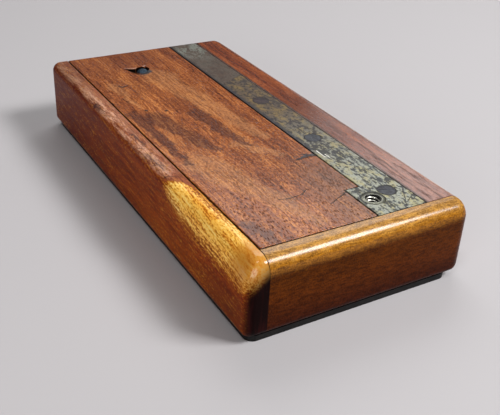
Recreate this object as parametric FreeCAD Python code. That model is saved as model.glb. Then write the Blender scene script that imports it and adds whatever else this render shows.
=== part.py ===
"""Small wooden puzzle box with a sliding lid, an inlaid brass strip and a hidden well.

Frame: millimetres, +Z up, origin under the middle of the box on the surface it stands on.
+Y runs along the box from the near end to the far end, where the lid slides out; +X is to the right.
"""
import FreeCAD, Part
import math
import os

# Outside of the case
case_length = 166.0
case_width = 80.0
case_height = 27.0
base_thick = 2.0

# Walls
left_wall = 7.0
right_wall = 14.0
near_wall = 6.5
far_wall = 6.0

# How far the base board stands back from each outside face
base_back_left = 1.6
base_back_right = 5.0
base_back_near = 1.0
base_back_far = 2.0
base_corner = 3.0

# Worn roundings of the outside edges
round_top = 4.6
round_top_far = 2.6
round_top_left = 3.0
round_corner_near_left = 3.0
round_corner_far_left = 4.0
round_corner_right = 4.6
round_bottom = 2.2
round_bottom_right = 3.4

# Deep wear of the left top edge, from the near end: where it starts, where it is full, its width on top, its depth
wear_long = 54.0
wear_full = 42.0
wear_wide = 5.0
wear_wide_end = 5.6
wear_deep = 7.4
wear_deep_end = 10.6

# Gaps: the open seam round the lid, the running gap of sliding faces, the tight gap of inlaid and fixed pieces
seam = 0.35
run_gap = 0.15
inlay_gap = 0.06

# Lid and the tongues that guide it
lid_thick = 6.0
lid_travel = 125.0
left_tongue_deep = 2.6
left_tongue_thick = 2.4
left_tongue_down = 2.2
right_tongue_deep = 1.8

# Brass strip with its foot, inlaid in the top
strip_wide = 12.7
strip_thick = 2.0
foot_wide = 5.4
foot_long = 17.0

# Screws along the strip, counted from the near seam
strip_screw_first = 11.4
strip_screw_second = 52.7
strip_screw_third = 88.5
strip_screw_head = 6.6
strip_screw_shank = 3.0
strip_screw_long = 15.0
screw_slot_wide = 0.9
screw_slot_share = 0.45
screw_slot_turns = (62.0, 8.0, 115.0)

# Threaded bush let into the foot, for a screw of 3/16 inch and 24 threads to the inch
bush_outer = 7.75
bush_bore = 3.8
bush_mouth = 4.8
bush_long = 12.0
bush_from_seam = 9.0
bush_left_of_strip = 0.7

# Lock rail that carries the strip, with the hidden well under its far length
rail_left_of_strip = 3.3
well_wide = 5.4
well_near_from_scarf = 5.0
well_floor = 4.0

# Sliding far length of the strip: its slanted joint and the tee that holds it down
scarf_from_seam = 111.7
scarf_slant = 6.8
tee_side = 0.9
tee_thick = 1.5
tee_roof = 2.0
tee_long = 6.0

# Nail notch in the lid
notch_x = -10.2
notch_wall_from_far = 21.0
notch_long = 9.5
notch_deep = 1.5
notch_wide = 9.6
notch_wall_radius = 7.0

# Domed release stud in the notch, with its keeper plate under the lid
stud_x = -8.2
stud_from_far = 22.4
stud_head = 5.4
stud_below_top = 0.1
stud_flange = 6.8
stud_flange_thick = 0.8
stud_stem = 4.0
stud_travel = 1.0
stud_clear = 0.08
keeper_wide = 12.4
keeper_long = 9.0
keeper_thick = 0.8
keeper_screw_apart = 9.4
keeper_screw_head = 2.2
keeper_screw_shank = 1.2
keeper_screw_long = 3.0

# Leaf spring that holds the lid shut
spring_wide = 6.0
spring_thick = 0.6
spring_reach = 28.0
spring_leg = 12.4
spring_bend = 1.2
spring_under_lid = 0.1
nib_high = 2.2
nib_room = 0.4
spring_screw_head = 4.0
spring_screw_head_high = 1.3
spring_screw_shank = 2.0
spring_screw_long = 4.6
spring_screw_top = 4.6
spring_screw_apart = 5.0

# Dowels in the corner joints
dowel = 3.0
dowel_long = 14.0
dowel_in_side = 4.0
dowel_edge = 4.0

# Screws that hold the base board
base_screw_head = 4.2
base_screw_shank = 2.2
base_screw_long = 11.0
base_screw_pitch = 56.0
rail_screw_from_seam = 31.0
rail_screw_pitch = 40.0

# Places worked out from the sizes above
x_left = -case_width / 2
x_right = case_width / 2
y_near = -case_length / 2
y_far = case_length / 2
x_lid = x_left + left_wall
x_strip_right = x_right - right_wall
x_strip = x_strip_right - strip_wide
x_foot = x_strip - foot_wide
x_strip_middle = (x_strip + x_strip_right) / 2
x_rail = x_strip - rail_left_of_strip
x_rail_raised = x_strip + right_tongue_deep + seam
x_well = (x_rail_raised + x_strip_right) / 2
y_seam = y_near + near_wall
y_far_inner = y_far - far_wall
y_foot = y_seam + foot_long
y_scarf = y_seam + scarf_from_seam
y_well = y_scarf + well_near_from_scarf
z_lid = case_height - lid_thick
z_strip = case_height - strip_thick
z_ledge = z_lid - run_gap
z_tongue_top = case_height - left_tongue_down
z_tongue = z_tongue_top - left_tongue_thick
z_tee_top = z_strip - tee_roof
z_tee = z_tee_top - tee_thick
x_bush = x_strip - bush_left_of_strip
y_bush = y_seam + bush_from_seam
y_stud = y_far - stud_from_far
y_notch_wall = y_far - notch_wall_from_far
z_leaf_top = z_lid - spring_under_lid
z_leaf = z_leaf_top - spring_thick
y_nib = y_far_inner - spring_reach
z_keeper_top = z_lid + keeper_thick
z_stud_flange = z_keeper_top + stud_travel
z_stud_flange_top = z_stud_flange + stud_flange_thick
z_stud_dome = case_height - stud_below_top - stud_head / 2
slide_travel = y_far_inner - y_well - tee_long - 2 * run_gap


def block(x0, x1, y0, y1, z0, z1):
    """A box between two corners."""
    return Part.makeBox(x1 - x0, y1 - y0, z1 - z0, FreeCAD.Vector(x0, y0, z0))


def rod(x, y, z, along, diameter, length):
    """A round bar that starts at a point and runs along a direction."""
    start = FreeCAD.Vector(x, y, z)
    return Part.makeCylinder(diameter / 2, length, start, FreeCAD.Vector(*along))


def plate(points, z0, z1):
    """A flat plate with the given outline in plan."""
    corners = [FreeCAD.Vector(x, y, z0) for x, y in points]
    face = Part.Face(Part.makePolygon(corners + corners[:1]))
    return face.extrude(FreeCAD.Vector(0, 0, z1 - z0))


def joined(first, *others):
    """One solid from several that touch, with the seams between flat faces taken out."""
    return first.fuse(list(others)).removeSplitter()


def rounded_case():
    """The whole outside as one block with every edge rounded: the wooden pieces are cut out of it."""
    document = FreeCAD.newDocument()
    body = document.addObject("Part::Box")
    body.Length = case_width
    body.Width = case_length
    body.Height = case_height - base_thick
    body.Placement.Base = FreeCAD.Vector(x_left, y_near, base_thick)
    document.recompute()
    z_middle = (base_thick + case_height) / 2
    radius_at = {
        (x_left, y_near, z_middle): round_corner_near_left,
        (x_left, y_far, z_middle): round_corner_far_left,
        (x_right, y_near, z_middle): round_corner_right,
        (x_right, y_far, z_middle): round_corner_right,
        (x_left, 0, case_height): round_top_left,
        (x_right, 0, case_height): round_top,
        (0, y_near, case_height): round_top,
        (0, y_far, case_height): round_top_far,
        (x_left, 0, base_thick): round_bottom,
        (x_right, 0, base_thick): round_bottom_right,
        (0, y_near, base_thick): round_bottom,
        (0, y_far, base_thick): round_bottom,
    }
    edges = []
    for number, edge in enumerate(body.Shape.Edges, start=1):
        middle = edge.CenterOfMass
        place = min(radius_at, key=lambda p: middle.distanceToPoint(FreeCAD.Vector(*p)))
        edges.append((number, radius_at[place], radius_at[place]))
    rounding = document.addObject("Part::Fillet")
    rounding.Base = body
    rounding.Edges = edges
    document.recompute()
    return rounding.Shape.cut(hand_wear())


def wear_section(y, wide, deep):
    """What the wear takes off at one place: the left top corner outside a quarter of an ellipse."""
    centre = FreeCAD.Vector(x_left + wide, y, case_height - deep)
    top = FreeCAD.Vector(x_left + wide, y, case_height)
    side = FreeCAD.Vector(x_left, y, case_height - deep)
    curve = Part.Arc(Part.Ellipse(top, side, centre), 0, math.pi / 2).toShape()
    outside = [
        side,
        FreeCAD.Vector(x_left - wide, y, case_height - deep),
        FreeCAD.Vector(x_left - wide, y, case_height + wide),
        FreeCAD.Vector(x_left + wide, y, case_height + wide),
        top,
    ]
    return Part.Wire([curve] + Part.makePolygon(outside).Edges)


def hand_wear():
    """The wood worn off the left top edge: it starts gently, reaches full size and deepens to the near end."""
    y_start = y_near + wear_long
    y_full = y_near + wear_full
    start = round_top_left - 2 * inlay_gap
    sections = [
        wear_section(y_start, start, start + inlay_gap),
        wear_section(y_full, wear_wide, wear_deep),
        wear_section(y_near, wear_wide_end, wear_deep_end),
        wear_section(y_near - round_top, wear_wide_end, wear_deep_end),
    ]
    return Part.makeLoft(sections, True, True)


def countersunk_screw(x, y, z, up, head, shank, length, slot_turn):
    """A slotted wood screw whose flat head lies at z; up is 1 where the head looks up and -1 where it looks down."""
    head_high = (head - shank) / 2
    tip_high = shank
    profile = [
        (0, 0),
        (head / 2, 0),
        (shank / 2, -head_high),
        (shank / 2, tip_high - length),
        (0, -length),
    ]
    points = [FreeCAD.Vector(r, 0, h) for r, h in profile]
    face = Part.Face(Part.makePolygon(points + points[:1]))
    screw = face.revolve(FreeCAD.Vector(), FreeCAD.Vector(0, 0, 1), 360)
    slot_deep = head_high * screw_slot_share
    slot_wide = screw_slot_wide * head / strip_screw_head
    slot = block(-head, head, -slot_wide / 2, slot_wide / 2, -slot_deep, slot_deep)
    slot.rotate(FreeCAD.Vector(), FreeCAD.Vector(0, 0, 1), slot_turn)
    screw = screw.cut(slot)
    if up < 0:
        screw.rotate(FreeCAD.Vector(), FreeCAD.Vector(1, 0, 0), 180)
    screw.translate(FreeCAD.Vector(x, y, z))
    return screw


def countersunk_hole(x, y, z, up, head, shank, length):
    """The hole that a countersunk screw fills, wider all round by the tight gap."""
    head_high = (head - shank) / 2
    direction = FreeCAD.Vector(0, 0, -up)
    start = FreeCAD.Vector(x, y, z)
    wide = head / 2 + inlay_gap
    narrow = shank / 2 + inlay_gap
    cone = Part.makeCone(wide, narrow, head_high, start, direction)
    return joined(cone, rod(x, y, z, (0, 0, -up), shank + 2 * inlay_gap, length + inlay_gap))


def strip_screw_places():
    """Where the screws stand on the strip's middle line, each with the turn of its slot."""
    distances = (strip_screw_first, strip_screw_second, strip_screw_third)
    return [(x_strip_middle, y_seam + d, turn) for d, turn in zip(distances, screw_slot_turns)]


def base_screw_places():
    """Where the base board is screwed to the two sides and to the lock rail."""
    x_left_row = (x_left + base_back_left + x_lid) / 2
    x_right_row = (x_strip_right + x_right - base_back_right) / 2
    rows = [(x, i * base_screw_pitch) for x in (x_left_row, x_right_row) for i in (-1, 0, 1)]
    y_rail = y_seam + rail_screw_from_seam
    return rows + [(x_strip_middle, y_rail + i * rail_screw_pitch) for i in (0, 1)]


def keeper_screw_places():
    """Where the keeper plate is screwed to the lid, each side of the stud."""
    return [(stud_x + side * keeper_screw_apart / 2, y_stud) for side in (-1, 1)]


def spring_screw_heights():
    """Heights of the two screws in the leaf spring's leg."""
    highest = z_leaf_top - spring_screw_top
    return [highest, highest - spring_screw_apart]


def dowel_heights():
    """Heights of the two dowels in a corner joint: one above the base, one below the ledge."""
    return [base_thick + dowel_edge, z_ledge - dowel_edge]


def near_dowel_bars(gap):
    """The dowels between the near end and the two sides, with a gap all round."""
    size = dowel + 2 * gap
    y_middle = y_near + near_wall / 2
    x_middle = (x_strip_right + x_right) / 2
    bars = []
    for z in dowel_heights():
        bars.append(rod(x_lid - dowel_in_side - gap, y_middle, z, (1, 0, 0), size, dowel_long + 2 * gap))
        bars.append(rod(x_middle, y_seam - dowel_in_side - gap, z, (0, 1, 0), size, dowel_long + 2 * gap))
    return bars


def far_dowel_bars(gap):
    """The dowels between the far end and the two sides, with a gap all round."""
    size = dowel + 2 * gap
    y_middle = (y_far + y_far_inner) / 2
    bars = []
    for z in dowel_heights():
        bars.append(rod(x_lid - dowel_in_side - gap, y_middle, z, (1, 0, 0), size, dowel_long + 2 * gap))
        bars.append(rod(x_strip_right + dowel_in_side + gap, y_middle, z, (-1, 0, 0), size, dowel_long + 2 * gap))
    return bars


def base_screw_holes():
    """Holes for the screws that come up through the base board."""
    sizes = (base_screw_head, base_screw_shank, base_screw_long)
    return [countersunk_hole(x, y, 0, -1, *sizes) for x, y in base_screw_places()]


def left_side(case):
    """Left side, as long as the box, with the groove for the lid's tongue."""
    board = case.common(block(x_left, x_lid, y_near, y_far, base_thick, case_height))
    groove = block(x_lid - left_tongue_deep, x_lid, y_seam, y_far, z_tongue - run_gap, z_tongue_top + run_gap)
    return board.cut([groove] + near_dowel_bars(inlay_gap) + far_dowel_bars(inlay_gap) + base_screw_holes())


def right_side(case):
    """Right side, which butts against the near end."""
    board = case.common(block(x_strip_right, x_right, y_seam, y_far, base_thick, case_height))
    return board.cut(near_dowel_bars(inlay_gap) + far_dowel_bars(inlay_gap) + base_screw_holes())


def near_end(case):
    """Near end block, across the box from the left side to the right face."""
    board = case.common(block(x_lid, x_right, y_near, y_seam, base_thick, case_height))
    return board.cut(near_dowel_bars(inlay_gap))


def far_end(case):
    """Far end between the sides: low under the lid, which slides over it, and high under the strip."""
    low = block(x_lid, x_strip_right, y_far_inner, y_far, base_thick, z_ledge)
    high = block(x_rail_raised, x_strip_right, y_far_inner, y_far, base_thick, z_strip)
    board = case.common(joined(low, high))
    size = spring_screw_shank + 2 * inlay_gap
    long = spring_screw_long - spring_thick + inlay_gap
    holes = [rod(stud_x, y_far_inner, z, (0, 1, 0), size, long) for z in spring_screw_heights()]
    return board.cut(holes + far_dowel_bars(inlay_gap))


def base_board():
    """Thin base board, set back from the outside faces."""
    board = block(
        x_left + base_back_left,
        x_right - base_back_right,
        y_near + base_back_near,
        y_far - base_back_far,
        0,
        base_thick,
    )
    upright = [e for e in board.Edges if abs(e.tangentAt(e.FirstParameter).z) > 0.5]
    return board.makeFillet(base_corner, upright).cut(base_screw_holes())


def base_screws():
    """The screws of the base board, heads flush underneath."""
    sizes = (base_screw_head, base_screw_shank, base_screw_long)
    quarter = 90.0
    places = enumerate(base_screw_places())
    return Part.makeCompound([countersunk_screw(x, y, 0, -1, *sizes, i * quarter / 2) for i, (x, y) in places])


def lock_rail():
    """Rail under the strip: ledge for the lid, foot block at the near end, hidden well at the far end."""
    low = block(x_rail, x_strip_right, y_seam, y_far_inner, base_thick, z_ledge)
    high = block(x_rail_raised, x_strip_right, y_seam, y_far_inner, base_thick, z_strip)
    foot = block(x_foot, x_strip_right, y_seam, y_foot, base_thick, z_strip)
    half = well_wide / 2
    well = block(x_well - half, x_well + half, y_well, y_far_inner, base_thick + well_floor, z_strip)
    wing = half + tee_side
    undercut = block(x_well - wing, x_well + wing, y_well, y_far_inner, z_tee - run_gap, z_tee_top + run_gap)
    bush = rod(x_bush, y_bush, case_height, (0, 0, -1), bush_outer + 2 * inlay_gap, bush_long)
    sizes = (strip_screw_head, strip_screw_shank, strip_screw_long)
    screws = [countersunk_hole(x, y, case_height, 1, *sizes) for x, y, turn in strip_screw_places()]
    return joined(low, high, foot).cut([well, undercut, bush] + screws + base_screw_holes())


def metal_strip():
    """Brass strip with its foot, up to the slanted joint."""
    x_end = x_strip_right - inlay_gap
    y_start = y_seam + inlay_gap
    outline = [
        (x_foot, y_start),
        (x_end, y_start),
        (x_end, y_scarf + scarf_slant / 2),
        (x_strip, y_scarf - scarf_slant / 2),
        (x_strip, y_foot),
        (x_foot, y_foot),
    ]
    strip = plate(outline, z_strip, case_height)
    bush = rod(x_bush, y_bush, z_strip, (0, 0, 1), bush_outer + 2 * inlay_gap, strip_thick)
    sizes = (strip_screw_head, strip_screw_shank, strip_screw_long)
    screws = [countersunk_hole(x, y, case_height, 1, *sizes) for x, y, turn in strip_screw_places()]
    return strip.cut([bush] + screws)


def strip_screws():
    """The three slotted screws of the strip, heads flush with its top."""
    sizes = (strip_screw_head, strip_screw_shank, strip_screw_long)
    places = strip_screw_places()
    return Part.makeCompound([countersunk_screw(x, y, case_height, 1, *sizes, turn) for x, y, turn in places])


def threaded_bush():
    """Bush flush with the foot, bored to the thread's crests, with a flared mouth."""
    bush = rod(x_bush, y_bush, case_height, (0, 0, -1), bush_outer, bush_long)
    bore = rod(x_bush, y_bush, case_height, (0, 0, -1), bush_bore, bush_long)
    flare_deep = (bush_mouth - bush_bore) / 2
    top = FreeCAD.Vector(x_bush, y_bush, case_height)
    flare = Part.makeCone(bush_mouth / 2, bush_bore / 2, flare_deep, top, FreeCAD.Vector(0, 0, -1))
    return bush.cut([bore, flare])


def slide_plate(case):
    """Far length of the strip, which slides out over the far end."""
    x_end = x_strip_right - inlay_gap
    outline = [
        (x_strip, y_scarf - scarf_slant / 2 + run_gap),
        (x_end, y_scarf + scarf_slant / 2 + run_gap),
        (x_end, y_far),
        (x_strip, y_far),
    ]
    return plate(outline, z_strip, case_height).common(case)


def slide_tee():
    """Tee under the sliding length: its neck runs in the well's mouth and its wings under the mouth's lips."""
    y0 = y_well + run_gap
    neck = well_wide / 2 - run_gap
    wing = neck + tee_side
    stem = block(x_well - neck, x_well + neck, y0, y0 + tee_long, z_tee, z_strip)
    wings = block(x_well - wing, x_well + wing, y0, y0 + tee_long, z_tee, z_tee_top)
    return joined(stem, wings)


def nail_notch():
    """The cut of a nail notch: a hollow ramp, deepest against a steep wall that curves like a gouge."""
    half = notch_wide / 2
    radius = (half ** 2 + notch_deep ** 2) / (2 * notch_deep)
    slope = math.atan2(notch_deep, notch_long)
    reach = 3 * notch_long
    along = FreeCAD.Vector(0, math.cos(slope), -math.sin(slope))
    lift = FreeCAD.Vector(0, math.sin(slope), math.cos(slope)) * radius
    deepest = FreeCAD.Vector(notch_x, y_notch_wall, case_height - notch_deep)
    ramp = Part.makeCylinder(radius, reach, deepest + lift - along * (reach / 2), along)
    x0, x1 = notch_x - notch_wide, notch_x + notch_wide
    front = block(x0, x1, y_notch_wall - reach, y_notch_wall + notch_wide, z_lid, case_height + radius)
    wall = rod(notch_x, y_notch_wall + notch_wall_radius, z_lid, (0, 0, 1), 2 * notch_wall_radius, reach)
    return ramp.common(front).cut(wall)


def lid_panel(case):
    """Sliding lid: a tongue on each edge, cut back round the foot, with the nail notch and the stud's seat."""
    x0, x1 = x_lid + seam, x_strip - seam
    y0 = y_seam + seam
    panel = block(x0, x1, y0, y_far, z_lid, case_height)
    left = block(x0 - left_tongue_deep, x0, y0, y_far, z_tongue, z_tongue_top)
    right = block(x1, x_strip + right_tongue_deep, y0, y_far, z_lid, z_strip - run_gap)
    foot = block(x_foot - seam, x_rail_raised, y_seam, y_foot + seam, z_lid, case_height)
    head = rod(stud_x, y_stud, z_lid, (0, 0, 1), stud_head + 2 * stud_clear, lid_thick)
    flange_high = z_stud_flange_top + inlay_gap - z_lid
    flange = rod(stud_x, y_stud, z_lid, (0, 0, 1), stud_flange + 2 * stud_clear, flange_high)
    wide, long = keeper_wide / 2 + inlay_gap, keeper_long / 2 + inlay_gap
    keeper = block(stud_x - wide, stud_x + wide, y_stud - long, y_stud + long, z_lid, z_keeper_top)
    sizes = (keeper_screw_head, keeper_screw_shank, keeper_screw_long)
    screws = [countersunk_hole(x, y, z_lid, -1, *sizes) for x, y in keeper_screw_places()]
    nib_wide = spring_wide / 2 + nib_room
    y1 = y_nib + spring_thick + nib_room
    nib_top = z_leaf_top + nib_high + nib_room
    nib = block(stud_x - nib_wide, stud_x + nib_wide, y_nib - nib_room, y1, z_lid, nib_top)
    panel = case.common(joined(panel, left, right))
    return panel.cut([foot, head, flange, keeper, nib, nail_notch()] + screws)


def release_stud():
    """Domed stud in the notch: a flange keeps it in the lid, and its stem presses the spring."""
    flange_low = z_stud_flange
    head = rod(stud_x, y_stud, flange_low, (0, 0, 1), stud_head, z_stud_dome - flange_low)
    centre = FreeCAD.Vector(stud_x, y_stud, z_stud_dome)
    dome = Part.makeSphere(stud_head / 2, centre, FreeCAD.Vector(0, 0, 1), 0, 90, 360)
    flange = rod(stud_x, y_stud, flange_low, (0, 0, 1), stud_flange, stud_flange_thick)
    stem = rod(stud_x, y_stud, z_lid, (0, 0, 1), stud_stem, flange_low - z_lid)
    return joined(head, dome, flange, stem)


def button_keeper():
    """Keeper plate let into the underside of the lid, which holds the stud's flange."""
    wide, long = keeper_wide / 2, keeper_long / 2
    keeper = block(stud_x - wide, stud_x + wide, y_stud - long, y_stud + long, z_lid, z_keeper_top)
    hole = rod(stud_x, y_stud, z_lid, (0, 0, 1), stud_stem + 2 * stud_clear, keeper_thick)
    sizes = (keeper_screw_head, keeper_screw_shank, keeper_screw_long)
    screws = [countersunk_hole(x, y, z_lid, -1, *sizes) for x, y in keeper_screw_places()]
    return keeper.cut([hole] + screws)


def keeper_screws():
    """The two small screws of the keeper plate."""
    sizes = (keeper_screw_head, keeper_screw_shank, keeper_screw_long)
    return Part.makeCompound([countersunk_screw(x, y, z_lid, -1, *sizes, 0) for x, y in keeper_screw_places()])


def catch_spring():
    """Leaf spring: a leg against the far end, a leaf close under the lid, a nib that stands in the lid."""
    x0 = stud_x - spring_wide / 2
    y_leg = y_far_inner - spring_thick
    y_nib_far = y_nib + spring_thick
    z_foot = z_leaf_top - spring_leg
    outline = [
        (y_far_inner, z_foot),
        (y_far_inner, z_leaf_top),
        (y_nib_far, z_leaf_top),
        (y_nib_far, z_leaf_top + nib_high),
        (y_nib, z_leaf_top + nib_high),
        (y_nib, z_leaf),
        (y_leg, z_leaf),
        (y_leg, z_foot),
    ]
    corners = [FreeCAD.Vector(x0, y, z) for y, z in outline]
    leaf = Part.Face(Part.makePolygon(corners + corners[:1])).extrude(FreeCAD.Vector(spring_wide, 0, 0))
    bends = [(y_far_inner, z_leaf_top, spring_bend), (y_leg, z_leaf, spring_bend - spring_thick)]
    for y, z, radius in bends:
        corner = FreeCAD.Vector(stud_x, y, z)
        bend = min(leaf.Edges, key=lambda e: e.CenterOfMass.distanceToPoint(corner))
        leaf = leaf.makeFillet(radius, [bend])
    size = spring_screw_shank + 2 * inlay_gap
    return leaf.cut([rod(stud_x, y_leg, z, (0, 1, 0), size, spring_thick) for z in spring_screw_heights()])


def spring_screws():
    """The two round-headed screws that hold the spring's leg to the far end."""
    y_leg = y_far_inner - spring_thick
    half = spring_screw_head / 2
    radius = (half ** 2 + spring_screw_head_high ** 2) / (2 * spring_screw_head_high)
    made = []
    for z in spring_screw_heights():
        shank = rod(stud_x, y_leg, z, (0, 1, 0), spring_screw_shank, spring_screw_long)
        centre = FreeCAD.Vector(stud_x, y_leg - spring_screw_head_high + radius, z)
        under = rod(stud_x, y_leg, z, (0, -1, 0), spring_screw_head, spring_screw_head_high)
        dome = Part.makeSphere(radius, centre).common(under)
        slot_half = screw_slot_wide / 3
        y_slot = y_leg - spring_screw_head_high * (1 - screw_slot_share)
        slot = block(stud_x - half, stud_x + half, y_slot - half, y_slot, z - slot_half, z + slot_half)
        made.append(joined(dome, shank).cut(slot))
    return Part.makeCompound(made)


def build():
    """Makes every piece and writes each to its own file."""
    case = rounded_case()
    pieces = {
        "left_side": left_side(case),
        "right_side": right_side(case),
        "near_end": near_end(case),
        "far_end": far_end(case),
        "base_board": base_board(),
        "base_screws": base_screws(),
        "near_dowels": Part.makeCompound(near_dowel_bars(0)),
        "far_dowels": Part.makeCompound(far_dowel_bars(0)),
        "lock_rail": lock_rail(),
        "metal_strip": metal_strip(),
        "strip_screws": strip_screws(),
        "threaded_bush": threaded_bush(),
        "slide_plate": slide_plate(case),
        "slide_tee": slide_tee(),
        "lid_panel": lid_panel(case),
        "release_stud": release_stud(),
        "button_keeper": button_keeper(),
        "keeper_screws": keeper_screws(),
        "catch_spring": catch_spring(),
        "spring_screws": spring_screws(),
    }
    os.makedirs("parts", exist_ok=True)
    for name, shape in pieces.items():
        shape.exportStep(os.path.join("parts", name + ".step"))
        print(name, len(shape.Solids), shape.isValid(), round(shape.Volume, 2))
    print("lid travel", lid_travel, "slide travel", round(slide_travel, 3), "stud travel", stud_travel)


build()
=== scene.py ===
"""Looks of a small wooden puzzle box: worn hardwood boards, a sliding lid and an inlaid brass strip.

Lengths are in millimetres in the part's frame: +X right, +Y to the far end and +Z up.
The meshes hold them in metres.
"""
import math

import bmesh
import bpy
import numpy as np
from mathutils import Matrix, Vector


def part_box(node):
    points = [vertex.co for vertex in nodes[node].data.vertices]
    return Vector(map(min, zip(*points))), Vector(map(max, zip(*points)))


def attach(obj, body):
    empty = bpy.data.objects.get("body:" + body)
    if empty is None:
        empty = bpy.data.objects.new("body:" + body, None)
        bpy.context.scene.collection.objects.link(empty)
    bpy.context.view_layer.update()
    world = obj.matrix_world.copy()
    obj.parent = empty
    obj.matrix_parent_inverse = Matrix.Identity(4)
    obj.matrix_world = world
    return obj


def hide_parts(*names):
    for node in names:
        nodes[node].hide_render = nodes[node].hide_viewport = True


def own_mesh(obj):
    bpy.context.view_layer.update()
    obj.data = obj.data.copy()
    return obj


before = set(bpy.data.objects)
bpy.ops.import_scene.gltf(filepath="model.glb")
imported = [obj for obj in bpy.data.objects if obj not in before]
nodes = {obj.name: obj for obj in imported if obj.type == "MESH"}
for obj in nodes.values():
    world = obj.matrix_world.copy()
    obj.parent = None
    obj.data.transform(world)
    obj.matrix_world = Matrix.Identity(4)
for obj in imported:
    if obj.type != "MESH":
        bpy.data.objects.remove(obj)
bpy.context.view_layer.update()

MM = 0.001

# Roundings of the outside edges
ROUND_TOP = 4.6
ROUND_TOP_FAR = 2.6
ROUND_TOP_LEFT = 3.0
ROUND_NEAR_LEFT = 3.0
ROUND_FAR_LEFT = 4.0
ROUND_CORNER_RIGHT = 4.6
ROUND_BOTTOM = 2.2
ROUND_BOTTOM_RIGHT = 3.4
ROUND_SEAM = 0.4
ROUND_METAL = 0.22
SEAM_CORNERS = ((ROUND_SEAM, ROUND_SEAM), (ROUND_SEAM / 2, ROUND_SEAM / 2))

# Unevenness of hand-worked faces and edges: (length, start) of each slow wave, and how far they reach
WAVES = ((31.0, 0.4), (17.0, 2.1), (9.3, 4.0), (5.1, 1.3))
UNEVEN = 0.05
UNEVEN_LEFT_EDGE = 0.35
UNEVEN_NEAR_EDGE = 0.3

# Deep wear of the left top edge, from the near end
WEAR_LONG = 54.0
WEAR_FULL = 42.0
WEAR_FADE = 3.0
WEAR_WIDE = 5.0
WEAR_WIDE_END = 5.6
WEAR_DEEP = 7.4
WEAR_DEEP_END = 10.6
WEAR_START = -29.0
WEAR_START_SLANT = 1.26
WEAR_FOOT = 17.0
WEAR_FOOT_RISE = 8.5
WEAR_FOOT_LONG = 6.5
WEAR_FOOT_SOFT = (-3.5, 7.0)
WEAR_START_SOFT = 1.5
WEAR_MARGIN = 6.0

# Where the wear stays duller beside the lid, and how far the left top edge is rubbed and painted pale with
# sheen
DULL_BESIDE_LID = (-2.8, -1.2)
DULL_FROM_NEAR = (10.0, 36.0)
DULL_SHARE = 0.6
RUBBED_SHEEN_DOWN = (0.6, 0.05)
RUBBED_SHEEN_ACROSS = (3.4, 6.2)

# Lid, its guides and its nail notch
SEAM = 0.35
RUN_GAP = 0.15
TONGUE_LEFT_DEEP = 2.6
TONGUE_LEFT_THICK = 2.4
TONGUE_LEFT_DOWN = 2.2
TONGUE_RIGHT_DEEP = 2.15
NOTCH_X = -10.2
NOTCH_WALL_FROM_FAR = 21.0
NOTCH_LONG = 9.5
NOTCH_DEEP = 1.5
NOTCH_WIDE = 9.6
NOTCH_WALL_RADIUS = 7.0
NOTCH_LIP = 0.9
NOTCH_LIP_DEEP = 0.3
NOTCH_SHADOW = (0.8, 3.0)
NOTCH_SHADOW_BEHIND = 0.2
BOW_WIDE = 0.56
BOW_LONG = 4.0
BOW_FROM = 5.2
BOW_FADE = 3.0
FOOT_WALL_BEND = 0.12

# Room under the lid for the stud's flange, the keeper plate and the spring's nib
STUD_FLANGE = 0.62
FLANGE_ROOM = 1.86
KEEPER_BELOW = 0.54
NIB_ROOM = 0.36

# Brass strip, its screws and the thread of its bush
FOOT_LONG = 17.0
SCARF_SLANT = 6.8
SCARF_REACH = 25.0
SCREW_FROM_SEAM = (11.4, 52.7, 88.5)
SCREW_HEAD = 6.6
SCREW_SHANK = 3.0
SCREW_SUNK = 0.06
SCREW_CROWN = 0.04
SLOT_DEEP = 0.08
SLOT_HALF = (0.25, 0.55)
SLOT_TURN = (0.5, 1.9, 0.9)
INLAY_GAP = 0.06
THREAD_CREST = 1.9
THREAD_ROOT = 2.38
THREAD_PITCH = 25.4 / 24
BUSH_MOUTH = 0.12
BUSH_MOUTH_SLOPE = 2.5
BUSH_EDGE = 0.15
BUSH_LAND = 0.2

# Leaf spring: its bend, its nib and the screws of its leg
SPRING_THICK = 0.6
SPRING_BEND = 1.2
SPRING_LEG_TOP = 1.4
NIB_HIGH = 2.2
SPRING_SCREW_HOLE = 2.12
SPRING_SCREW_DOWN = (4.6, 9.6)

# Spacing of the stations along the pieces, and columns across the strip
STEP_WORN = 0.6
STEP_BOARD = 1.2
STEP_RIGHT = 1.5
STEP_LID = 1.1
STEP_LID_FAR = 0.8
STEP_NOTCH = 0.25
STEP_FOOT = 0.5
FOOT_COLUMNS = 18
BAR_COLUMNS = 40

# A step between two stations that stand at one place, the smallest radius of a turned piece,
# the distance at which two points are one, and how far a cutter reaches past the face it cuts
HAIR = 0.01
PIN_POINT = 0.02
SAME_POINT = 1e-7
CUT_PAST = 1.0


def corners(node):
    """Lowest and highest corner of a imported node, in millimetres."""
    low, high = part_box(node)
    return np.array(low) / MM, np.array(high) / MM


(X_LEFT, Y_NEAR, Z_BOTTOM), (X_LID, Y_FAR, Z_TOP) = corners("left_side")
(X_RAIL, Y_SEAM, _), (X_RIGHT, _, _) = corners("right_side")
(_, Y_LID, Z_LID), _ = corners("lid_panel")
(X_FOOT, Y_STRIP, Z_STRIP), (X_STRIP_RIGHT, _, _) = corners("metal_strip")
(X_STRIP, Y_SLIDE, _), _ = corners("slide_plate")
BUSH_LOW, BUSH_HIGH = corners("threaded_bush")
SCREWS_LOW, _ = corners("strip_screws")
STUD_LOW, STUD_HIGH = corners("release_stud")
KEEPER_LOW, KEEPER_HIGH = corners("button_keeper")
SPRING_LOW, SPRING_HIGH = corners("catch_spring")
BUSH_X, BUSH_Y = (BUSH_LOW + BUSH_HIGH)[:2] / 2
BUSH_RADIUS = (BUSH_HIGH - BUSH_LOW)[0] / 2
STUD_X, STUD_Y = (STUD_LOW + STUD_HIGH)[:2] / 2
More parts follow.
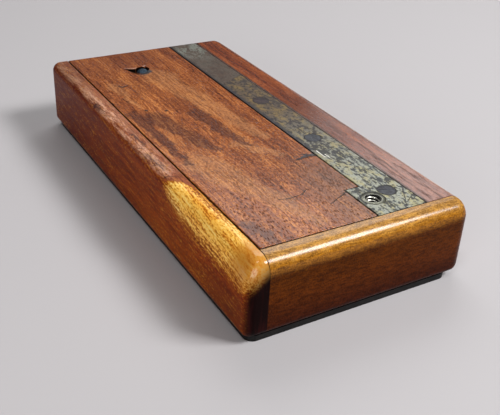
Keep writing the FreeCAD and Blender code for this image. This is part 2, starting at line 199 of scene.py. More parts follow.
STUD_RADIUS = (STUD_HIGH - STUD_LOW)[0] / 2
Y_FOOT = Y_SEAM + FOOT_LONG
Y_NOTCH = Y_FAR - NOTCH_WALL_FROM_FAR
X_STRIP_MIDDLE = (X_STRIP + X_STRIP_RIGHT) / 2
X_LID_LOW = X_LID + SEAM
X_LID_HIGH = X_STRIP - SEAM
X_LID_FOOT = X_FOOT - SEAM
Y_LID_FOOT = Y_FOOT + SEAM
Z_LEAF = SPRING_HIGH[2] - NIB_HIGH
Z_LEG = Z_LEAF - SPRING_LEG_TOP


# Numbers


def ease(value, low, high):
    """Smooth step from 0 at low to 1 at high."""
    share = np.clip((value - low) / (high - low), 0, 1)
    return share * share * (3 - 2 * share)


def slow_waves(along, across=0.0, seed=0.0):
    """Uneven handwork from 0 to 1: the mean of four slow sine waves with unlike lengths and starts."""
    waves = [np.sin(along / length + across / (0.6 * length) + start + seed) for length, start in WAVES]
    return 0.5 + 0.5 * np.mean(waves, axis=0)


def end_inset(distance, radius):
    """How far a rounded end draws a face in: the radius less the height of its circle at that distance."""
    inside = np.clip(radius - distance, 0, radius)
    return radius - np.sqrt(radius ** 2 - inside ** 2)


def toward_end(end, radius, count=14):
    """Stations over a rounded end, closer together towards the end itself."""
    return end + radius * (1 - np.cos(np.linspace(0, math.pi / 2, count)))


def stations(*runs):
    """All the stations of several runs, sorted, with near doubles left out."""
    values = np.sort(np.concatenate([np.atleast_1d(run) for run in runs]))
    return values[np.concatenate([[True], np.diff(values) > HAIR / 2])]


# Surfaces


def grid_faces(rows, columns):
    """Four-sided faces between the rows of a grid whose last column joins its first."""
    row, column = np.meshgrid(np.arange(rows - 1), np.arange(columns), indexing="ij")
    beside = (column + 1) % columns
    above = (row + 1) * columns
    here = row * columns
    return np.stack([here + column, here + beside, above + beside, above + column], -1).reshape(-1, 4)


def carried(rings):
    """Closed skin over a profile carried along a path: faces between rings, and a flat face at each end."""
    rows, columns = rings.shape[:2]
    last = np.arange(columns) + (rows - 1) * columns
    faces = grid_faces(rows, columns).tolist() + [list(range(columns)), last.tolist()]
    return rings.reshape(-1, 3), faces


def along_y(profile, y):
    """Points of a profile in X and Z at its stations in Y."""
    length = np.broadcast_to(y[:, None], profile.shape[:2])
    return np.stack([profile[..., 0], length, profile[..., 1]], -1)


def quarter(across, height, size_across, size_height, start, count=12):
    """Quarter of an ellipse at each station, turning back from start.

    Each point is the middle plus the sizes times cosine and sine.
    """
    turn = np.radians(np.linspace(start, start - 90, count))
    across, height, size_across, size_height = np.broadcast_arrays(across, height, size_across, size_height)
    return np.stack(
        [
            across[:, None] + size_across[:, None] * np.cos(turn),
            height[:, None] + size_height[:, None] * np.sin(turn),
        ],
        -1,
    )


def run(start, end, count):
    """Points inside a straight run at each station, without its ends."""
    share = np.linspace(0, 1, count + 2)[1:-1, None]
    return start[:, None] * (1 - share) + end[:, None] * share


def point(across, height, like):
    """One point of the profile at each station."""
    across, height, _ = np.broadcast_arrays(np.asarray(across, float), np.asarray(height, float), like)
    return np.stack([across, height], -1)[:, None]


def rounded_profile(low, high, bottom, top, sizes, inner=(), count=(12, 12)):
    """Profile with four rounded corners at each station, from the low bottom corner up, over and down again.

    sizes holds an (across, height) pair for the low bottom, low top, high top and high bottom corner.
    inner holds points that break the run down the high side.
    """
    (a0, b0), (a1, b1), (a2, b2), (a3, b3) = sizes
    first = quarter(low + a0, bottom + b0, a0, b0, 270)
    second = quarter(low + a1, top - b1, a1, b1, 180, 24)
    third = quarter(high - a2, top - b2, a2, b2, 90, 6)
    fourth = quarter(high - a3, bottom + b3, a3, b3, 0, 6)
    return np.concatenate(
        [
            first,
            run(first[:, -1], second[:, 0], count[0]),
            second,
            run(second[:, -1], third[:, 0], count[1]),
            third,
            *inner,
            fourth,
            run(fourth[:, -1], first[:, 0], count[1]),
        ],
        axis=1,
    )


def circles(radius, height, x, y, turn):
    """Rings about an upright axis: each row's radius and height go round a circle."""
    height = np.broadcast_to(height[:, None], radius.shape)
    return np.stack([x + radius * np.cos(turn), y + radius * np.sin(turn), height], -1)


def turned(profile, x, y, count=64):
    """Closed solid of revolution about an upright axis, from the (radius, height) pairs of its profile."""
    turn = np.linspace(0, 2 * math.pi, count, endpoint=False)
    radius, height = np.array(profile, float).T
    return carried(circles(np.repeat(radius[:, None], count, axis=1), height, x, y, turn))


def block(low, high):
    """Closed box between two corners: two square rings joined by faces."""
    (x0, y0, z0), (x1, y1, z1) = low, high
    square = np.array([[x0, y0], [x1, y0], [x1, y1], [x0, y1]])
    return carried(np.stack([np.column_stack([square, np.full(4, z)]) for z in (z0, z1)]))


def new_object(name, data):
    """A new object in the scene."""
    made = bpy.data.objects.new(name, data)
    bpy.context.scene.collection.objects.link(made)
    return made


def filled_mesh(name, points, faces, masks=None):
    """Mesh from points in millimetres and faces, with named masks on the points and faces turned outwards."""
    mesh = bpy.data.meshes.new(name)
    mesh.from_pydata((np.asarray(points) * MM).tolist(), [], faces)
    for mask_name, values in (masks or {}).items():
        layer = mesh.attributes.new(mask_name, "FLOAT", "POINT")
        layer.data.foreach_set("value", np.asarray(values, np.float32).ravel())
    work = bmesh.new()
    work.from_mesh(mesh)
    bmesh.ops.remove_doubles(work, verts=work.verts, dist=SAME_POINT)
    bmesh.ops.recalc_face_normals(work, faces=work.faces)
    work.to_mesh(mesh)
    work.free()
    return mesh


def cut_out(mesh, shapes):
    """The mesh with closed shapes taken out of it one after another. The helpers are removed again."""
    holder = new_object("holder", mesh)
    for points, faces in shapes:
        tool = new_object("tool", filled_mesh("tool", points, faces))
        cut = holder.modifiers.new("cut", "BOOLEAN")
        cut.operation = "DIFFERENCE"
        cut.object = tool
        finished = holder.evaluated_get(bpy.context.evaluated_depsgraph_get())
        result = bpy.data.meshes.new_from_object(finished)
        holder.modifiers.clear()
        holder.data = result
        bpy.data.objects.remove(tool)
    bpy.data.objects.remove(holder)
    return result


def new_piece(name, mesh, material, body, node, sharp=40):
    """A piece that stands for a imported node: smooth faces, hard edges past the sharp angle, one material."""
    mesh.shade_smooth()
    mesh.set_sharp_from_angle(angle=math.radians(sharp))
    mesh.materials.clear()
    mesh.materials.append(material)
    piece = new_object(name, mesh)
    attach(piece, body)
    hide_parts(node)
    return piece


# Wooden case


def left_side_mesh():
    """Left board: a rounded profile in X and Z carried along Y, with the lid's groove inside.

    It is drawn in at both ends. Its top left corner is a quarter of an ellipse that grows from the start of
    the wear to the near end.
    """
    y_plain = Y_NEAR + WEAR_LONG + WEAR_MARGIN
    y = stations(
        toward_end(Y_NEAR, ROUND_TOP, 18),
        np.arange(Y_NEAR + ROUND_TOP, y_plain, STEP_WORN),
        np.arange(y_plain, Y_FAR - ROUND_FAR_LEFT, STEP_BOARD),
        -toward_end(-Y_FAR, ROUND_FAR_LEFT),
        [Y_SEAM, Y_SEAM + HAIR],
    )
    near, far = y - Y_NEAR, Y_FAR - y
    uneven = slow_waves(y)
    side_inset = np.maximum(end_inset(near, ROUND_NEAR_LEFT), end_inset(far, ROUND_FAR_LEFT))
    top_inset = np.maximum(end_inset(near, ROUND_TOP), end_inset(far, ROUND_TOP_FAR))
    low = X_LEFT + side_inset + UNEVEN * uneven
    top = Z_TOP - top_inset - UNEVEN * slow_waves(y, seed=2)
    bottom = Z_BOTTOM + np.maximum(end_inset(near, ROUND_BOTTOM), end_inset(far, ROUND_BOTTOM))
    worn = 1 - ease(near, WEAR_FULL - WEAR_FADE, WEAR_LONG)
    grown = np.clip(1 - near / WEAR_FULL, 0, 1)
    rounding = ROUND_TOP_LEFT + UNEVEN_LEFT_EDGE * (uneven - 0.5)
    wide = rounding + worn * (WEAR_WIDE - rounding + (WEAR_WIDE_END - WEAR_WIDE) * grown)
    deep = rounding + worn * (WEAR_DEEP - rounding + (WEAR_DEEP_END - WEAR_DEEP) * grown)
    wide = np.minimum(wide, X_LID - low - 2 * ROUND_SEAM)
    groove = np.where(y > Y_SEAM + HAIR / 2, TONGUE_LEFT_DEEP, 0)
    groove_top = Z_TOP - TONGUE_LEFT_DOWN + RUN_GAP
    groove_low = groove_top - TONGUE_LEFT_THICK - 2 * RUN_GAP
    groove_top = np.minimum(groove_top, top - ROUND_SEAM - 2 * HAIR)
    groove_low = np.minimum(groove_low, top - ROUND_SEAM - 4 * HAIR)
    inner = [
        point(X_LID, groove_top, y),
        point(X_LID - groove, groove_top, y),
        point(X_LID - groove, groove_low, y),
        point(X_LID, groove_low, y),
    ]
    sizes = ((ROUND_BOTTOM, ROUND_BOTTOM), (wide, deep), *SEAM_CORNERS)
    points = along_y(rounded_profile(low, X_LID, bottom, top, sizes, inner, count=(16, 8)), y)
    x, z = points[..., 0], points[..., 2]
    y, top, deep = y[:, None], top[:, None], deep[:, None]
    start = ease(WEAR_START - WEAR_START_SLANT * (x - X_LEFT) - y, -WEAR_START_SOFT, WEAR_START_SOFT)
    beside_seam = ease(x - X_LID, *DULL_BESIDE_LID) * ease(y - Y_NEAR, *DULL_FROM_NEAR)
    foot = WEAR_FOOT + WEAR_FOOT_RISE * np.exp(-np.clip(WEAR_START - y, 0, None) / WEAR_FOOT_LONG)
    # The rounding mask marks the band along the left top edge that is painted pale with rubbing and sheen
    upper = ease(z, top - RUBBED_SHEEN_DOWN[0] * deep, top - RUBBED_SHEEN_DOWN[1] * deep)
    masks = {
        "worn": start * ease(z - foot, *WEAR_FOOT_SOFT) * (1 - DULL_SHARE * beside_seam),
        "rounding": upper * (1 - ease(x - X_LEFT, *RUBBED_SHEEN_ACROSS)),
    }
    return filled_mesh("left_board", *carried(points), masks)


def right_side_mesh():
    """Right board: a rounded profile in X and Z carried along Y from the end block to the rounded far end."""
    y = stations(
        np.arange(Y_SEAM, Y_FAR - ROUND_CORNER_RIGHT, STEP_RIGHT),
        -toward_end(-Y_FAR, ROUND_CORNER_RIGHT),
    )
    far = Y_FAR - y
    high = X_RIGHT - end_inset(far, ROUND_CORNER_RIGHT) - UNEVEN * slow_waves(y, seed=4)
    top = Z_TOP - end_inset(far, ROUND_TOP_FAR) - 0.8 * UNEVEN * slow_waves(y, seed=5)
    bottom = Z_BOTTOM + end_inset(far, ROUND_BOTTOM)
    sizes = ((ROUND_BOTTOM_RIGHT, ROUND_BOTTOM_RIGHT), (ROUND_TOP, ROUND_TOP), *SEAM_CORNERS)
    mirrored = rounded_profile(-high, -X_RAIL, bottom, top, sizes, count=(16, 14))
    points = along_y(mirrored * (-1, 1), y)
    edge = ease(points[..., 0] - (high - ROUND_TOP)[:, None], 0.1 * ROUND_TOP, 0.5 * ROUND_TOP)
    masks = {"rounding": edge * ease(points[..., 2], Z_TOP - ROUND_TOP, Z_TOP)}
    return filled_mesh("right_board", *carried(points), masks)


def near_end_mesh():
    """End block: a rounded profile in Y and Z carried along X from the left board to the right corner."""
    x = stations(
        np.arange(X_LID, X_RIGHT - ROUND_CORNER_RIGHT, STEP_BOARD),
        -toward_end(-X_RIGHT, ROUND_CORNER_RIGHT, 16),
    )
    right = X_RIGHT - x
    uneven = slow_waves(x, seed=1)
    low = Y_NEAR + end_inset(right, ROUND_CORNER_RIGHT) + UNEVEN * uneven
    top = Z_TOP - end_inset(right, ROUND_TOP) - UNEVEN * slow_waves(x, seed=3)
    bottom = Z_BOTTOM + end_inset(right, ROUND_BOTTOM_RIGHT)
    deep = ROUND_TOP + UNEVEN_NEAR_EDGE * (uneven - 0.5)
    wide = np.minimum(deep, Y_SEAM - low - 1.5 * ROUND_SEAM)
    below = np.minimum(ROUND_BOTTOM, Y_SEAM - low - ROUND_SEAM)
    sizes = ((below, below), (wide, deep), *SEAM_CORNERS)
    profile = rounded_profile(low, Y_SEAM, bottom, top, sizes, count=(20, 6))
    across = np.broadcast_to(x[:, None], profile.shape[:2])
    points = np.stack([across, profile[..., 0], profile[..., 1]], -1)
    masks = {"rounding": ease(points[..., 2], Z_TOP - 1.5 * ROUND_TOP, Z_TOP - 0.3 * ROUND_TOP)}
    return filled_mesh("end_block", *carried(points), masks)


# Lid


def notch_depth(x, y):
    """Depth of the nail notch: a ramp down to its far wall, less the rise of a round gouge off its middle."""
    half = NOTCH_WIDE / 2
    gouge = (half ** 2 + NOTCH_DEEP ** 2) / (2 * NOTCH_DEEP)
    ramp = NOTCH_DEEP * (1 - (Y_NOTCH - y) / NOTCH_LONG)
    aside = np.clip(np.abs(x - NOTCH_X), 0, gouge)
    return np.clip(ramp - (gouge - np.sqrt(gouge ** 2 - aside ** 2)), 0, None)


def lid_stations():
    """Rows of the lid along Y and columns of its top along X, closer round the notch and at the foot."""
    y_first, y_last = Y_NOTCH - NOTCH_LONG - 2, Y_NOTCH + 5
    y = stations(
        toward_end(Y_LID, ROUND_SEAM, 6),
        np.arange(Y_LID + 1, y_first, STEP_LID),
        np.arange(y_first, y_last, STEP_NOTCH),
        np.arange(y_last, Y_FAR - ROUND_TOP_FAR, STEP_LID_FAR),
        -toward_end(-Y_FAR, ROUND_TOP_FAR, 10),
        [Y_LID_FOOT - HAIR, Y_LID_FOOT],
        Y_LID_FOOT + ROUND_SEAM * np.linspace(0.1, 1, 5),
        [Y_NOTCH - HAIR, Y_NOTCH + HAIR],
    )
    x_first, x_last = NOTCH_X - NOTCH_WIDE * 0.7, NOTCH_X + NOTCH_WIDE * 0.7
    columns = stations(
        np.linspace(X_LID_LOW + ROUND_SEAM, x_first, 16),
        np.linspace(x_first, x_last, 56),
        np.linspace(x_last, X_LID_FOOT - ROUND_SEAM, 14),
        np.linspace(X_LID_FOOT, X_LID_HIGH - ROUND_SEAM, 8),
    )
    return y, columns


def lid_openings():
    """Cut out of the lid: the stud's bore, its flange's seat, the keeper's recess and the nib's pocket."""
    bore = STUD_RADIUS - STUD_FLANGE
    seat = STUD_RADIUS + INLAY_GAP
    z_below = Z_LID - CUT_PAST
    nib_low = (SPRING_LOW[0] - NIB_ROOM, SPRING_LOW[1] - NIB_ROOM, z_below)
    nib_high = (SPRING_HIGH[0], SPRING_LOW[1] + SPRING_THICK, SPRING_HIGH[2])
    return [
        turned([(bore, z_below), (bore, Z_TOP + CUT_PAST)], STUD_X, STUD_Y),
        turned([(seat, z_below), (seat, KEEPER_HIGH[2] + FLANGE_ROOM)], STUD_X, STUD_Y),
        block(KEEPER_LOW - (INLAY_GAP, INLAY_GAP, KEEPER_BELOW), KEEPER_HIGH + (INLAY_GAP, INLAY_GAP, 0)),
        block(nib_low, np.array(nib_high) + NIB_ROOM),
    ]


def lid_mesh():
    """Lid: a profile with two tongues carried along Y, then bored. Its top is a grid in X and Y.

    Beside the foot the columns past the foot's edge run down a wall instead, and near the notch the rows bend
    to follow its curved wall.
    """
    y, columns = lid_stations()
    beyond = columns > X_LID_FOOT - HAIR
    inset = np.maximum(end_inset(y - Y_LID, ROUND_SEAM), end_inset(Y_FAR - y, ROUND_TOP_FAR))
    top = Z_TOP - inset - 1.2 * UNEVEN * slow_waves(y, seed=6)
    edge = ROUND_SEAM * (0.7 + 0.8 * slow_waves(3 * y, seed=7))
    x_tongue = X_LID_LOW - TONGUE_LEFT_DEEP
    z_tongue = Z_TOP - TONGUE_LEFT_DOWN
    left = [
        point(X_LID_LOW, Z_LID, y),
        point(X_LID_LOW, z_tongue - TONGUE_LEFT_THICK, y),
        point(x_tongue, z_tongue - TONGUE_LEFT_THICK, y),
        point(x_tongue, z_tongue, y),
        point(X_LID_LOW, z_tongue, y),
        quarter(X_LID_LOW + ROUND_SEAM, top - edge, ROUND_SEAM, edge, 180, 6)[:, :-1],
    ]
    right = [
        quarter(X_LID_HIGH - ROUND_SEAM, top - edge, ROUND_SEAM, edge, 90, 6)[:, 1:],
        point(X_LID_HIGH, Z_STRIP - RUN_GAP, y),
        point(X_LID_HIGH + TONGUE_RIGHT_DEEP, Z_STRIP - RUN_GAP, y),
        point(X_LID_HIGH + TONGUE_RIGHT_DEEP, Z_LID, y),
    ]
    grid_x, grid_y = np.meshgrid(columns, y)
    past_wall = grid_y > Y_NOTCH
    depth = np.where(past_wall, 0, notch_depth(grid_x, grid_y))
    wall_depth = notch_depth(grid_x, Y_NOTCH)
    wall = ease(wall_depth, 0.02, 0.45)
    lip = wall * past_wall * np.clip(1 - (grid_y - Y_NOTCH) / NOTCH_LIP, 0, 1) ** 2
    beside_foot = end_inset(grid_y - Y_LID_FOOT, ROUND_SEAM) * (grid_y > Y_LID_FOOT - HAIR / 2) * beyond
    uneven = UNEVEN * slow_waves(grid_y, 2 * grid_x, seed=8)
    flat = np.stack([grid_x, top[:, None] - uneven - depth - NOTCH_LIP_DEEP * lip - beside_foot], -1)
    profile = np.concatenate(left + [flat] + right, axis=1)

    first = sum(part.shape[1] for part in left)
    kept = first + int((~beyond).sum())
    share = np.linspace(0, 1, profile.shape[1] - kept)
    bent = share / FOOT_WALL_BEND
    straight = Z_LID + (top[:, None] - ROUND_SEAM - Z_LID) * (1 - share) / (1 - FOOT_WALL_BEND)
    foot_rows = y < Y_LID_FOOT - HAIR / 2
    profile[foot_rows, kept:, 0] = X_LID_FOOT - ROUND_SEAM + ROUND_SEAM * np.clip(bent, 0.1, 1) ** 0.5
    down_wall = np.where(bent < 1, top[:, None] - ROUND_SEAM * bent ** 2, straight)
    profile[foot_rows, kept:, 1] = down_wall[foot_rows]

    points = along_y(profile, y)
    aside = np.abs(points[..., 0] - NOTCH_X)
    bow = NOTCH_WALL_RADIUS - np.sqrt(NOTCH_WALL_RADIUS ** 2 - np.clip(aside, 0, BOW_WIDE * NOTCH_WIDE) ** 2)
    near_wall = np.exp(-(((points[..., 1] - Y_NOTCH) / BOW_LONG) ** 2))
    near_notch = np.exp(-((np.clip(aside - BOW_FROM, 0, None) / BOW_FADE) ** 2))
    on_top = points[..., 2] > Z_STRIP - NOTCH_DEEP
    points[..., 1] += bow * near_wall * near_notch * on_top

    # The wall mask marks where painted shadow falls: on the notch's far wall and a crescent in front of it,
    # longer where the wall is deeper
    shadow_long = np.where(past_wall, NOTCH_SHADOW_BEHIND, NOTCH_SHADOW[0] + NOTCH_SHADOW[1] * wall_depth)
    masks = {
        "hollow": np.maximum(ease(depth, 0.0, 0.3), wall * past_wall * (grid_y < Y_NOTCH + NOTCH_LIP)),
        "wall": ease(wall_depth, 0.0, 0.25) * np.exp(-(((grid_y - Y_NOTCH) / shadow_long) ** 2)),
        # The lip mask is the notch's lowered far rim, which is painted pale there as a highlight
        "lip": lip * (grid_y > Y_NOTCH + 2 * HAIR),
    }
    for name, values in masks.items():
        masks[name] = np.zeros(profile.shape[:2])
        masks[name][:, first : first + len(columns)] = values
    return cut_out(filled_mesh("lid_board", *carried(points), masks), lid_openings())


# Metal


def strip_edge(y):
    """Height of the bar's rounded edges along its length: a small radius times slow waves."""
    return ROUND_METAL * (0.6 + 0.9 * slow_waves(4 * y, seed=9))


def strip_top(y, columns):
    """Grid over the bar's top at each station: its height less slow waves in X and Y."""
    flat_x = np.broadcast_to(columns, (len(y), len(columns)))
    flat_z = Z_TOP - UNEVEN * slow_waves(2 * y[:, None], 3 * flat_x, seed=3)
    return np.stack([flat_x, flat_z], -1)


def strip_profile(y, low, left, flat, top):
    """Flat bar's profile at each station: up its left side, over its top and down its rounded right side."""
    edge = strip_edge(y)
    right = quarter(X_STRIP_RIGHT - ROUND_METAL, top - edge, ROUND_METAL, edge, 90, 5)[:, 1:]
    start, end = point(low, Z_STRIP, y), point(X_STRIP_RIGHT, Z_STRIP, y)
    return np.concatenate([start, left, flat, right, end], axis=1)


def slanted(points, end):
    """The bar's points with its end cut on a slant: each moves along Y by its place across the bar.

    The slant fades out away from the end.
    """
    share = 1 - np.clip(np.abs(points[..., 1] - end) / SCARF_REACH, 0, 1)
    across = (points[..., 0] - X_STRIP_MIDDLE) / (X_STRIP_RIGHT - X_STRIP)
    points[..., 1] += SCARF_SLANT * across * share
    return points


def strip_mesh():
    """Brass strip: a flat bar's profile carried along Y, slanted at its far end, then bored.

    Beside the foot the top grid reaches out over it. Past the foot those columns run up the bar's own left
    wall instead.
    """
    y_scarf = Y_SLIDE - RUN_GAP + SCARF_SLANT / 2
    y = stations(
        toward_end(Y_STRIP, ROUND_METAL, 5),
        np.arange(Y_STRIP + STEP_FOOT, Y_FOOT - STEP_FOOT, STEP_FOOT),
        -toward_end(-Y_FOOT, ROUND_METAL, 5),
        np.linspace(Y_FOOT + HAIR, y_scarf, 190),
    )
    on_foot = y < Y_FOOT + HAIR / 2
    foot_x = np.linspace(X_FOOT + ROUND_METAL, X_STRIP - ROUND_METAL, FOOT_COLUMNS)
    bar_x = np.linspace(X_STRIP + ROUND_METAL, X_STRIP_RIGHT - ROUND_METAL, BAR_COLUMNS)
    flat = strip_top(y, np.concatenate([foot_x, bar_x]))
    flat[:, :FOOT_COLUMNS, 1] -= end_inset(Y_FOOT - y, ROUND_METAL)[:, None] * on_foot[:, None]
    edge = strip_edge(y)
    low = np.where(on_foot, X_FOOT, X_STRIP)
    corner = quarter(low + ROUND_METAL, Z_TOP - edge, ROUND_METAL, edge, 180, 5)[:, :-1]
    beside = np.concatenate([corner, flat[:, :FOOT_COLUMNS]], axis=1)
    wall_start = point(X_STRIP, Z_STRIP, y)[:, 0]
    wall = np.concatenate([run(wall_start, corner[:, 0], FOOT_COLUMNS), corner], axis=1)
    left = np.where(on_foot[:, None, None], beside, wall)
    profile = strip_profile(y, low, left, flat[:, FOOT_COLUMNS:], Z_TOP)
    mesh = filled_mesh("brass_bar", *carried(slanted(along_y(profile, y), y_scarf)))
    head, shank = SCREW_HEAD / 2 + INLAY_GAP, SCREW_SHANK / 2 + INLAY_GAP
    z_below, z_above = Z_STRIP - CUT_PAST, Z_TOP + CUT_PAST
    sink = [(shank, z_below), (shank, Z_TOP - head + shank), (head, Z_TOP), (head, z_above)]
    shapes = [turned(sink, X_STRIP_MIDDLE + INLAY_GAP / 2, Y_SEAM + distance) for distance in SCREW_FROM_SEAM]
    bush = BUSH_RADIUS + INLAY_GAP
    shapes.append(turned([(bush, z_below), (bush, z_above)], BUSH_X, BUSH_Y))
    return cut_out(mesh, shapes)


def slide_mesh():
    """Sliding far length of the strip: the same bar, slanted at its near end and rounded at the far end."""
    y_scarf = Y_SLIDE + SCARF_SLANT / 2
    y = stations(np.linspace(y_scarf, Y_FAR - ROUND_TOP_FAR, 90), -toward_end(-Y_FAR, ROUND_TOP_FAR, 10))
    sunk = np.minimum(end_inset(Y_FAR - y, ROUND_TOP_FAR), Z_TOP - Z_STRIP - 1.6 * ROUND_METAL)
    flat = strip_top(y, np.linspace(X_STRIP + ROUND_METAL, X_STRIP_RIGHT - ROUND_METAL, BAR_COLUMNS))
    flat[..., 1] -= sunk[:, None]
    edge = strip_edge(y)
    corner = quarter(X_STRIP + ROUND_METAL, Z_TOP - sunk - edge, ROUND_METAL, edge, 180, 5)[:, :-1]
    profile = strip_profile(y, X_STRIP, corner, flat, Z_TOP - sunk)
    return filled_mesh("slide_bar", *carried(slanted(along_y(profile, y), y_scarf)))


def bush_mesh():
    """Bush: a ring turned about its axis whose bore follows a thread.

    The bore's radius is the crest radius plus the thread's depth times a flattened triangle wave of the
    height over the pitch, less the turn.
    """
    turn = np.linspace(0, 2 * math.pi, 96, endpoint=False)
    bore_z = np.linspace(Z_TOP - BUSH_MOUTH, BUSH_LOW[2], 190)
    phase = (bore_z[:, None] / THREAD_PITCH - turn / (2 * math.pi)) % 1
    wave = np.clip(1.25 * np.abs(2 * phase - 1) - 0.125, 0, 1)
    thread = THREAD_CREST + (THREAD_ROOT - THREAD_CREST) * wave
    mouth = THREAD_ROOT + BUSH_MOUTH - BUSH_MOUTH_SLOPE * (Z_TOP - bore_z[:, None] - BUSH_MOUTH)
    wall_radius = np.array([BUSH_RADIUS, BUSH_RADIUS, BUSH_RADIUS - BUSH_EDGE, THREAD_ROOT + BUSH_LAND])
    wall_z = np.array([BUSH_LOW[2], Z_TOP - BUSH_EDGE, Z_TOP, Z_TOP])
    wall = np.repeat(wall_radius[:, None], len(turn), axis=1)
    radius = np.concatenate([wall, np.maximum(thread, mouth), wall[:1]])
    rings = circles(radius, np.concatenate([wall_z, bore_z, wall_z[:1]]), BUSH_X, BUSH_Y, turn)
    inside = np.zeros(radius.shape)
    inside[len(wall) : -1] = 1
    masks = {"bore": inside, "crest": inside * (1 - ease(radius, THREAD_CREST + 0.05, THREAD_CREST + 0.28))}
    return filled_mesh("bush", rings.reshape(-1, 3), grid_faces(*radius.shape).tolist(), masks)


def screws_mesh():
    """Three countersunk screws whose worn heads lie flush: each is a profile turned about its axis.

    The slot is a shallow groove, filled up with dirt, along one line across the head.
    """
    head, shank = SCREW_HEAD / 2, SCREW_SHANK / 2
    sunk = Z_TOP - SCREW_SUNK
    z_end = SCREWS_LOW[2]
    across = np.concatenate([[PIN_POINT], np.linspace(0, head - 0.12, 16)[1:]])
    profile = [(radius, sunk + SCREW_CROWN * (1 - (radius / head) ** 2)) for radius in across]
    profile += [(head, sunk - 0.1), (shank, sunk - head + shank), (shank, z_end), (PIN_POINT, z_end)]
    points, faces, rim = [], [], []
    for distance, turn in zip(SCREW_FROM_SEAM, SLOT_TURN):
        own, own_faces = turned(profile, X_STRIP_MIDDLE, Y_SEAM + distance, 72)
        from_axis = own[:, :2] - (X_STRIP_MIDDLE, Y_SEAM + distance)
        off = from_axis[:, 0] * math.sin(turn) + from_axis[:, 1] * math.cos(turn)
        on_head = own[:, 2] > sunk - 0.05
        own[:, 2] -= SLOT_DEEP * on_head * (1 - ease(np.abs(off), *SLOT_HALF))
        faces += [[corner + len(points) for corner in face] for face in own_faces]
        points += own.tolist()
        rim += (np.hypot(from_axis[:, 0], from_axis[:, 1]) / head).tolist()
    return filled_mesh("screw_heads", points, faces, {"rim": ease(np.array(rim), 0.6, 1.0)})


def spring_leg_mesh():
    """Leg of the leaf spring: a flat plate against the far end, with two round holes for its screws."""
    y_front, y_back = SPRING_HIGH[1] - SPRING_THICK, SPRING_HIGH[1]
    low = (SPRING_LOW[0], y_front, SPRING_LOW[2])
    mesh = filled_mesh("spring_leg", *block(low, (SPRING_HIGH[0], y_back, Z_LEG)))
    middle = (SPRING_LOW[0] + SPRING_HIGH[0]) / 2
    hole = [(SPRING_SCREW_HOLE / 2, y_front - CUT_PAST), (SPRING_SCREW_HOLE / 2, y_back + CUT_PAST)]
    shapes = []
    for down in SPRING_SCREW_DOWN:
        upright, faces = turned(hole, middle, Z_LEAF - down)
        shapes.append((upright[:, [0, 2, 1]], faces))
    return cut_out(mesh, shapes)


def spring_leaf_mesh():
    """Leaf of the spring: an outline in Y and Z carried along X.

    It has two quarter circles at its bend and a nib at its end.
    """
    y_back, y_nib, z_nib = SPRING_HIGH[1], SPRING_LOW[1], SPRING_HIGH[2]
    turn = np.radians(np.linspace(0, 90, 9))
    way = np.column_stack([np.cos(turn), np.sin(turn)])
    bend = np.array([y_back - SPRING_BEND, Z_LEAF - SPRING_BEND])
    y_inside = y_nib + SPRING_THICK
    nib = [(y_inside, Z_LEAF), (y_inside, z_nib), (y_nib, z_nib), (y_nib, Z_LEAF - SPRING_THICK)]
    outline = np.concatenate(
        [
            [(y_back, Z_LEG)],
            bend + SPRING_BEND * way,
            nib,
            bend + (SPRING_BEND - SPRING_THICK) * way[::-1],
            [(y_back - SPRING_THICK, Z_LEG)],
        ]
    )
    sides = [np.column_stack([np.full(len(outline), x), outline]) for x in (SPRING_LOW[0], SPRING_HIGH[0])]
    return filled_mesh("spring_leaf", *carried(np.stack(sides)))


# Shader values


class Value:
    """A number, place or colour in a shader. Sums of numbers are written as in plain arithmetic."""

    def __init__(self, tree, socket):
        self.tree = tree
        self.socket = socket

    def __add__(self, other):
        return calc("ADD", self, other)

    def __sub__(self, other):
        return calc("SUBTRACT", self, other)

    def __rsub__(self, other):
        return calc("SUBTRACT", other, self)

    def __mul__(self, other):
        return calc("MULTIPLY", self, other)


def tone(red, green, blue):
    """Colour from 0 to 255 as seen on a screen, as light values."""
    seen = np.array([red, green, blue]) / 255
    light = np.where(seen <= 0.04045, seen / 12.92, ((seen + 0.055) / 1.055) ** 2.4)
    return (*light.tolist(), 1.0)


def give(socket, value):
    """Feeds a socket: a value of the shader is linked to it, and a plain one is set on it."""
    if isinstance(value, Value):
        value.tree.links.new(value.socket, socket)
    else:
        socket.default_value = value


def new_node(tree, kind, sockets, **settings):
    """A new shader node; sockets gives what feeds its inputs."""
    made = tree.nodes.new("ShaderNode" + kind)
    for key, value in settings.items():
        setattr(made, key, value)
    for key, value in sockets.items():
        give(made.inputs[key], value)
    return made


def add(kind, sockets, output=0, **settings):
    """One output of a new shader node, made in the tree of the values that feed it."""
    tree = next(value.tree for value in sockets.values() if isinstance(value, Value))
    return Value(tree, new_node(tree, kind, sockets, **settings).outputs[output])


def calc(operation, first, second):
    """One sum of two numbers."""
    return add("Math", {0: first, 1: second}, operation=operation)


def greatest(*values):
    """The largest of several numbers."""
    largest = values[0]
    for value in values[1:]:
        largest = calc("MAXIMUM", largest, value)
    return largest


def vector(operation, first, second=(0.0, 0.0, 0.0), output="Vector"):
    """One sum of two vectors; a number in place of one of them counts for all three axes."""
    return add("VectorMath", {0: first, 1: second}, output, operation=operation)


def axes(place):
    """X, Y and Z of a place."""
    return [add("SeparateXYZ", {0: place}, axis) for axis in range(3)]


def rise(value, low, high):
    """Smooth step from 0 at low to 1 at high; the other way where low is the larger."""
    sockets = {"Value": value, "From Min": low, "From Max": high}
    return add("MapRange", sockets, interpolation_type="SMOOTHSTEP")


def blend(share, under, over, mode="MIX"):
    """Colour over laid on colour under by a share."""
    return add("Mix", {0: share, 6: under, 7: over}, 2, data_type="RGBA", blend_type=mode)


def coats(colour, *layers):
    """Colour with several coats laid over it, each with its share and its own colour."""
    for share, over in layers:
        colour = blend(share, colour, over)
    return colour


